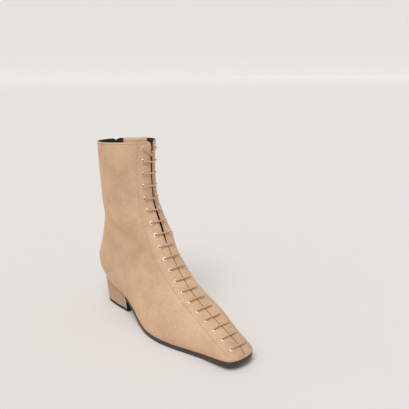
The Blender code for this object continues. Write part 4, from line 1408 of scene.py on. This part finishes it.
class BOOT_OT_eyelets(bpy.types.Operator):
    """Small rolled nickel eyelets"""

    bl_idname = "boot.eyelets"
    bl_label = "Eyelets"

    def execute(self, context):
        middle, half = (EYELET_OUTER + EYELET_HOLE) / 2, (EYELET_OUTER - EYELET_HOLE) / 2
        barrel = EYELET_HOLE + EYELET_BARREL_THICK
        profile = [(EYELET_HOLE, -WALL), (barrel, -WALL)]
        profile += [(barrel, EYELET_SINKS), (EYELET_OUTER, EYELET_SINKS)]
        for turn in np.linspace(0, math.pi, 6):
            height = EYELET_ROLL_BASE + EYELET_ROLL_RISE * math.sin(turn)
            profile.append((middle + half * math.cos(turn), height))
        parts, names = [], []
        for number, t in enumerate(eyelet_places(), 1):
            for side in SIDES:
                centre, normal = eyelet_spot(t, side)
                parts.append(ring_mesh(centre, normal, profile, EYELET_SIDES))
                names.append(f"eyelet_{side}_{number:02d}")
        points, faces = joined(parts)
        inside = len(profile) - 1
        kinds = [int(index % len(profile) == inside) for index in range(len(faces))]
        piece("eyelet_rings", points, faces, ["nickel", "eyelet shade"], replaces=names, sharp=60,
              kinds=kinds)
        return {"FINISHED"}


class BOOT_OT_lace(bpy.types.Operator):
    """Round lace in straight bars through every eyelet, and its two ends at the collar"""

    bl_idname = "boot.lace"
    bl_label = "Lace"

    def execute(self, context):
        radius = context.scene.boot_sizes.lace_radius
        corners = lace_corners()
        top = eyelet_places()[0]
        under_top = over_and_under(top, "lateral")[1]
        upward = (under_top - corners[-1]) / np.linalg.norm(under_top - corners[-1])
        corners.append(corners[-1] + LAST_RUN_UP * upward)
        points, faces, marks = tube_mesh(rounded(corners), radius, LACE_SIDES)
        piece("lace_bars", points, faces, ["lace"], replaces=["lace"], uv=marks, sharp=60)
        for side in SIDES:
            cord_piece(side)
        return {"FINISHED"}


class BOOT_OT_stitches(bpy.types.Operator):
    """Rows of fine stitches round the collar, along the throat, outside the eyelets and beside the zip"""

    bl_idname = "boot.stitches"
    bl_label = "Stitches"

    def execute(self, context):
        sizes = context.scene.boot_sizes
        parts = []
        for points, normals in stitch_lines():
            parts += stitch_parts(points, normals, sizes.stitch_length, sizes.thread_radius)
        points, faces = joined(parts)
        piece("stitches", points, faces, ["thread"])
        return {"FINISHED"}


def zip_tape_mesh():
    """The tape's two sides behind the slot, open between their rims."""
    places = np.linspace(0.3, ZIP_FOOT + 0.3, 160)
    offsets = np.linspace(-ZIP_TAPE_HALF, ZIP_TAPE_HALF, 9)
    points = []
    for depth in (ZIP_TAPE_DEPTH, ZIP_TAPE_DEPTH + ZIP_TAPE_THICK):
        for t in places:
            angles = zip_angle(t, offsets)
            points.append(surface(t, "medial", angles) - depth * outward(t, "medial", angles))
    skins, _ = sheet_faces(len(places), len(offsets))
    return np.concatenate(points), skins


def zip_tooth(t, sign):
    """One tooth of the zip at t as a box, a little to the one or the other side of its middle."""
    middle = zip_angle(t, 0.0)
    normal = outward(t, "medial", middle)
    wide, long, high = TOOTH_HALVES
    centre = surface(t, "medial", zip_angle(t, sign * TOOTH_OFF)) - (ZIP_TAPE_DEPTH - high) * normal
    ahead = surface(t + 0.01, "medial", zip_angle(t + 0.01, 0.0)) - surface(t, "medial", middle)
    ahead = ahead / np.linalg.norm(ahead)
    across = np.cross(normal, ahead)
    corners = []
    for z in (-1, 1):
        for x, y in ((-1, -1), (1, -1), (1, 1), (-1, 1)):
            corners.append(centre + x * wide * across + y * long * ahead + (z * high) * normal)
    box = [[3, 2, 1, 0], [4, 5, 6, 7], [0, 1, 5, 4], [1, 2, 6, 5], [2, 3, 7, 6], [3, 0, 4, 7]]
    return np.array(corners), box


def softened_copy(node, name, body):
    """A copy of a metal node with softened edges, riding on its body."""
    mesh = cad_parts[node].data.copy()
    mesh.materials.clear()
    mesh.materials.append(finish("nickel"))
    made = bpy.data.objects.new(name, mesh)
    bpy.context.scene.collection.objects.link(made)
    weld = made.modifiers.new("weld", "WELD")
    weld.merge_threshold = WELD_WITHIN
    soft = made.modifiers.new("soft edges", "BEVEL")
    soft.width = SOFT_EDGE
    soft.segments = 2
    soft.angle_limit = math.radians(35)
    soft.harden_normals = False
    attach(made, body)
    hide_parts(node)


class BOOT_OT_zip(bpy.types.Operator):
    """Zip tape with closed teeth, and the slider with its pull"""

    bl_idname = "boot.zip"
    bl_label = "Zip"

    def execute(self, context):
        points, faces = zip_tape_mesh()
        piece("zip_tape_woven", points, faces, ["tape"], replaces=["zip_tape"])
        fine = np.linspace(ZIP_NARROWS_AT, ZIP_FOOT, 900)
        line = surface(fine, "medial", zip_angle(fine, 0.0))
        run = np.concatenate([[0], np.cumsum(np.linalg.norm(np.diff(line, axis=0), axis=1))])
        parts = []
        for count, at in enumerate(np.arange(1.0, run[-1] - 1.0, TOOTH_PITCH / 2)):
            parts.append(zip_tooth(np.interp(at, run, fine), 1 if count % 2 else -1))
        points, faces = joined(parts)
        made = piece("zip_teeth", points, faces, ["tape"], sharp=30)
        oriented(made)
        softened_copy("zip_slider", "slider_body", "boot")
        softened_copy("zip_pull", "slider_pull", "pull_tab")
        return {"FINISHED"}


# The camera's place, and the way that it looks along the floor, in the model's frame.
CAMERA_PLACE = (-0.3775, -0.5130, 0.3339)
CAMERA_HEADING = (0.6535, 0.757)
CAMERA_PITCH = 0.261
CAMERA_ROLL = -0.004
CAMERA_LENS = 45.9
SENSOR_WIDTH = 36.0
# The paper, in metres: half its width, where it starts and ends along the view, and its bend and height.
PAPER_HALF = 16.0
PAPER_NEAR = -8.0
PAPER_FAR = 13.0
PAPER_BEND = 1.0
PAPER_TOP = 8.0
PAPER_BELOW = 0.0001
# The way to the key light from the boot: back along the view and to the left for each metre up.
KEY_BACK = 0.48
KEY_LEFT = 0.2
KEY_ENERGY = 1.9
KEY_WIDTH = 40
KEY_COLOUR = (1.0, 0.985, 0.965)
ROOM_COLOUR = (1.0, 0.985, 0.97)
ROOM_STRENGTH = 0.55


def paper_sweep(heading, right):
    """A wide sheet of paper on the floor that bends up far behind the boot."""
    profile = [(PAPER_NEAR, 0.0), (PAPER_FAR, 0.0)]
    for turn in np.linspace(0.06, math.pi / 2, 24):
        profile.append((PAPER_FAR + PAPER_BEND * math.sin(turn), PAPER_BEND * (1 - math.cos(turn))))
    profile.append((PAPER_FAR + PAPER_BEND, PAPER_TOP))
    points = []
    for ahead, up in profile:
        for side in (-PAPER_HALF, PAPER_HALF):
            place = heading * ahead + right * side
            points.append((place.x, place.y, up - PAPER_BELOW))
    faces = [[2 * k, 2 * k + 1, 2 * k + 3, 2 * k + 2] for k in range(len(profile) - 1)]
    mesh = bpy.data.meshes.new("paper_sweep")
    mesh.from_pydata(points, [], faces)
    mesh.materials.append(finish("floor"))
    mesh.shade_smooth()
    sweep = bpy.data.objects.new("paper_sweep", mesh)
    bpy.context.scene.collection.objects.link(sweep)


def studio_light(heading, right):
    """The room's even light, and one broad key light from above and behind the camera's left."""
    world = bpy.data.worlds.new("studio")
    world.use_nodes = True
    background = world.node_tree.nodes["Background"]
    background.inputs["Color"].default_value = rgba(ROOM_COLOUR)
    background.inputs["Strength"].default_value = ROOM_STRENGTH
    bpy.context.scene.world = world
    back_to_key = Vector((0, 0, 1.0)) - heading * KEY_BACK - right * KEY_LEFT
    data = bpy.data.lights.new("key", "SUN")
    data.energy = KEY_ENERGY
    data.angle = math.radians(KEY_WIDTH)
    data.color = KEY_COLOUR
    lamp = bpy.data.objects.new("key", data)
    lamp.rotation_mode = "QUATERNION"
    lamp.rotation_quaternion = (-back_to_key).to_track_quat("-Z", "Y")
    bpy.context.scene.collection.objects.link(lamp)


def photo_camera(heading):
    """The camera at the photo's angle to the boot."""
    scene = bpy.context.scene
    data = bpy.data.cameras.new("photo_view")
    data.lens = CAMERA_LENS
    data.sensor_width = SENSOR_WIDTH
    data.dof.use_dof = False
    camera = bpy.data.objects.new("photo_view", data)
    camera.location = CAMERA_PLACE
    looking = heading * math.cos(CAMERA_PITCH) - Vector((0, 0, math.sin(CAMERA_PITCH)))
    camera.rotation_mode = "QUATERNION"
    level = looking.to_track_quat("-Z", "Y")
    camera.rotation_quaternion = level @ Quaternion((0, 0, 1), CAMERA_ROLL)
    scene.collection.objects.link(camera)
    scene.camera = camera


class BOOT_OT_stage(bpy.types.Operator):
    """Pale paper sweep, soft lights and the camera"""

    bl_idname = "boot.stage"
    bl_label = "Stage"

    def execute(self, context):
        heading = Vector((*CAMERA_HEADING, 0)).normalized()
        right = Vector((heading.y, -heading.x, 0))
        paper_sweep(heading, right)
        studio_light(heading, right)
        photo_camera(heading)
        context.scene.view_settings.view_transform = "Standard"
        return {"FINISHED"}


class BOOT_PT_panel(bpy.types.Panel):
    """Lists the boot's sizes, colours and pieces"""

    bl_idname = "BOOT_PT_panel"
    bl_label = "Ankle boot"
    bl_space_type = "VIEW_3D"
    bl_region_type = "UI"
    bl_category = "Boot"

    def draw(self, context):
        for group in (context.scene.boot_sizes, context.scene.boot_colours):
            box = self.layout.box()
            for name in group.bl_rna.properties.keys():
                if name not in ("rna_type", "name"):
                    box.prop(group, name)
        for operator in OPERATORS:
            self.layout.operator(operator.bl_idname)


OPERATORS = (BOOT_OT_upper, BOOT_OT_lining, BOOT_OT_tongue, BOOT_OT_sole, BOOT_OT_heel, BOOT_OT_seat_seam,
             BOOT_OT_eyelets, BOOT_OT_lace, BOOT_OT_stitches, BOOT_OT_zip, BOOT_OT_stage)
CLASSES = (BootSizes, BootColours, *OPERATORS, BOOT_PT_panel)


def register():
    for item in CLASSES:
        bpy.utils.register_class(item)
    bpy.types.Scene.boot_sizes = bpy.props.PointerProperty(type=BootSizes)
    bpy.types.Scene.boot_colours = bpy.props.PointerProperty(type=BootColours)


def unregister():
    del bpy.types.Scene.boot_colours
    del bpy.types.Scene.boot_sizes
    for item in reversed(CLASSES):
        bpy.utils.unregister_class(item)


def main():
    register()
    for operator in OPERATORS:
        getattr(bpy.ops.boot, operator.bl_idname.split(".")[1])()


if __name__ == "__main__":
    main()
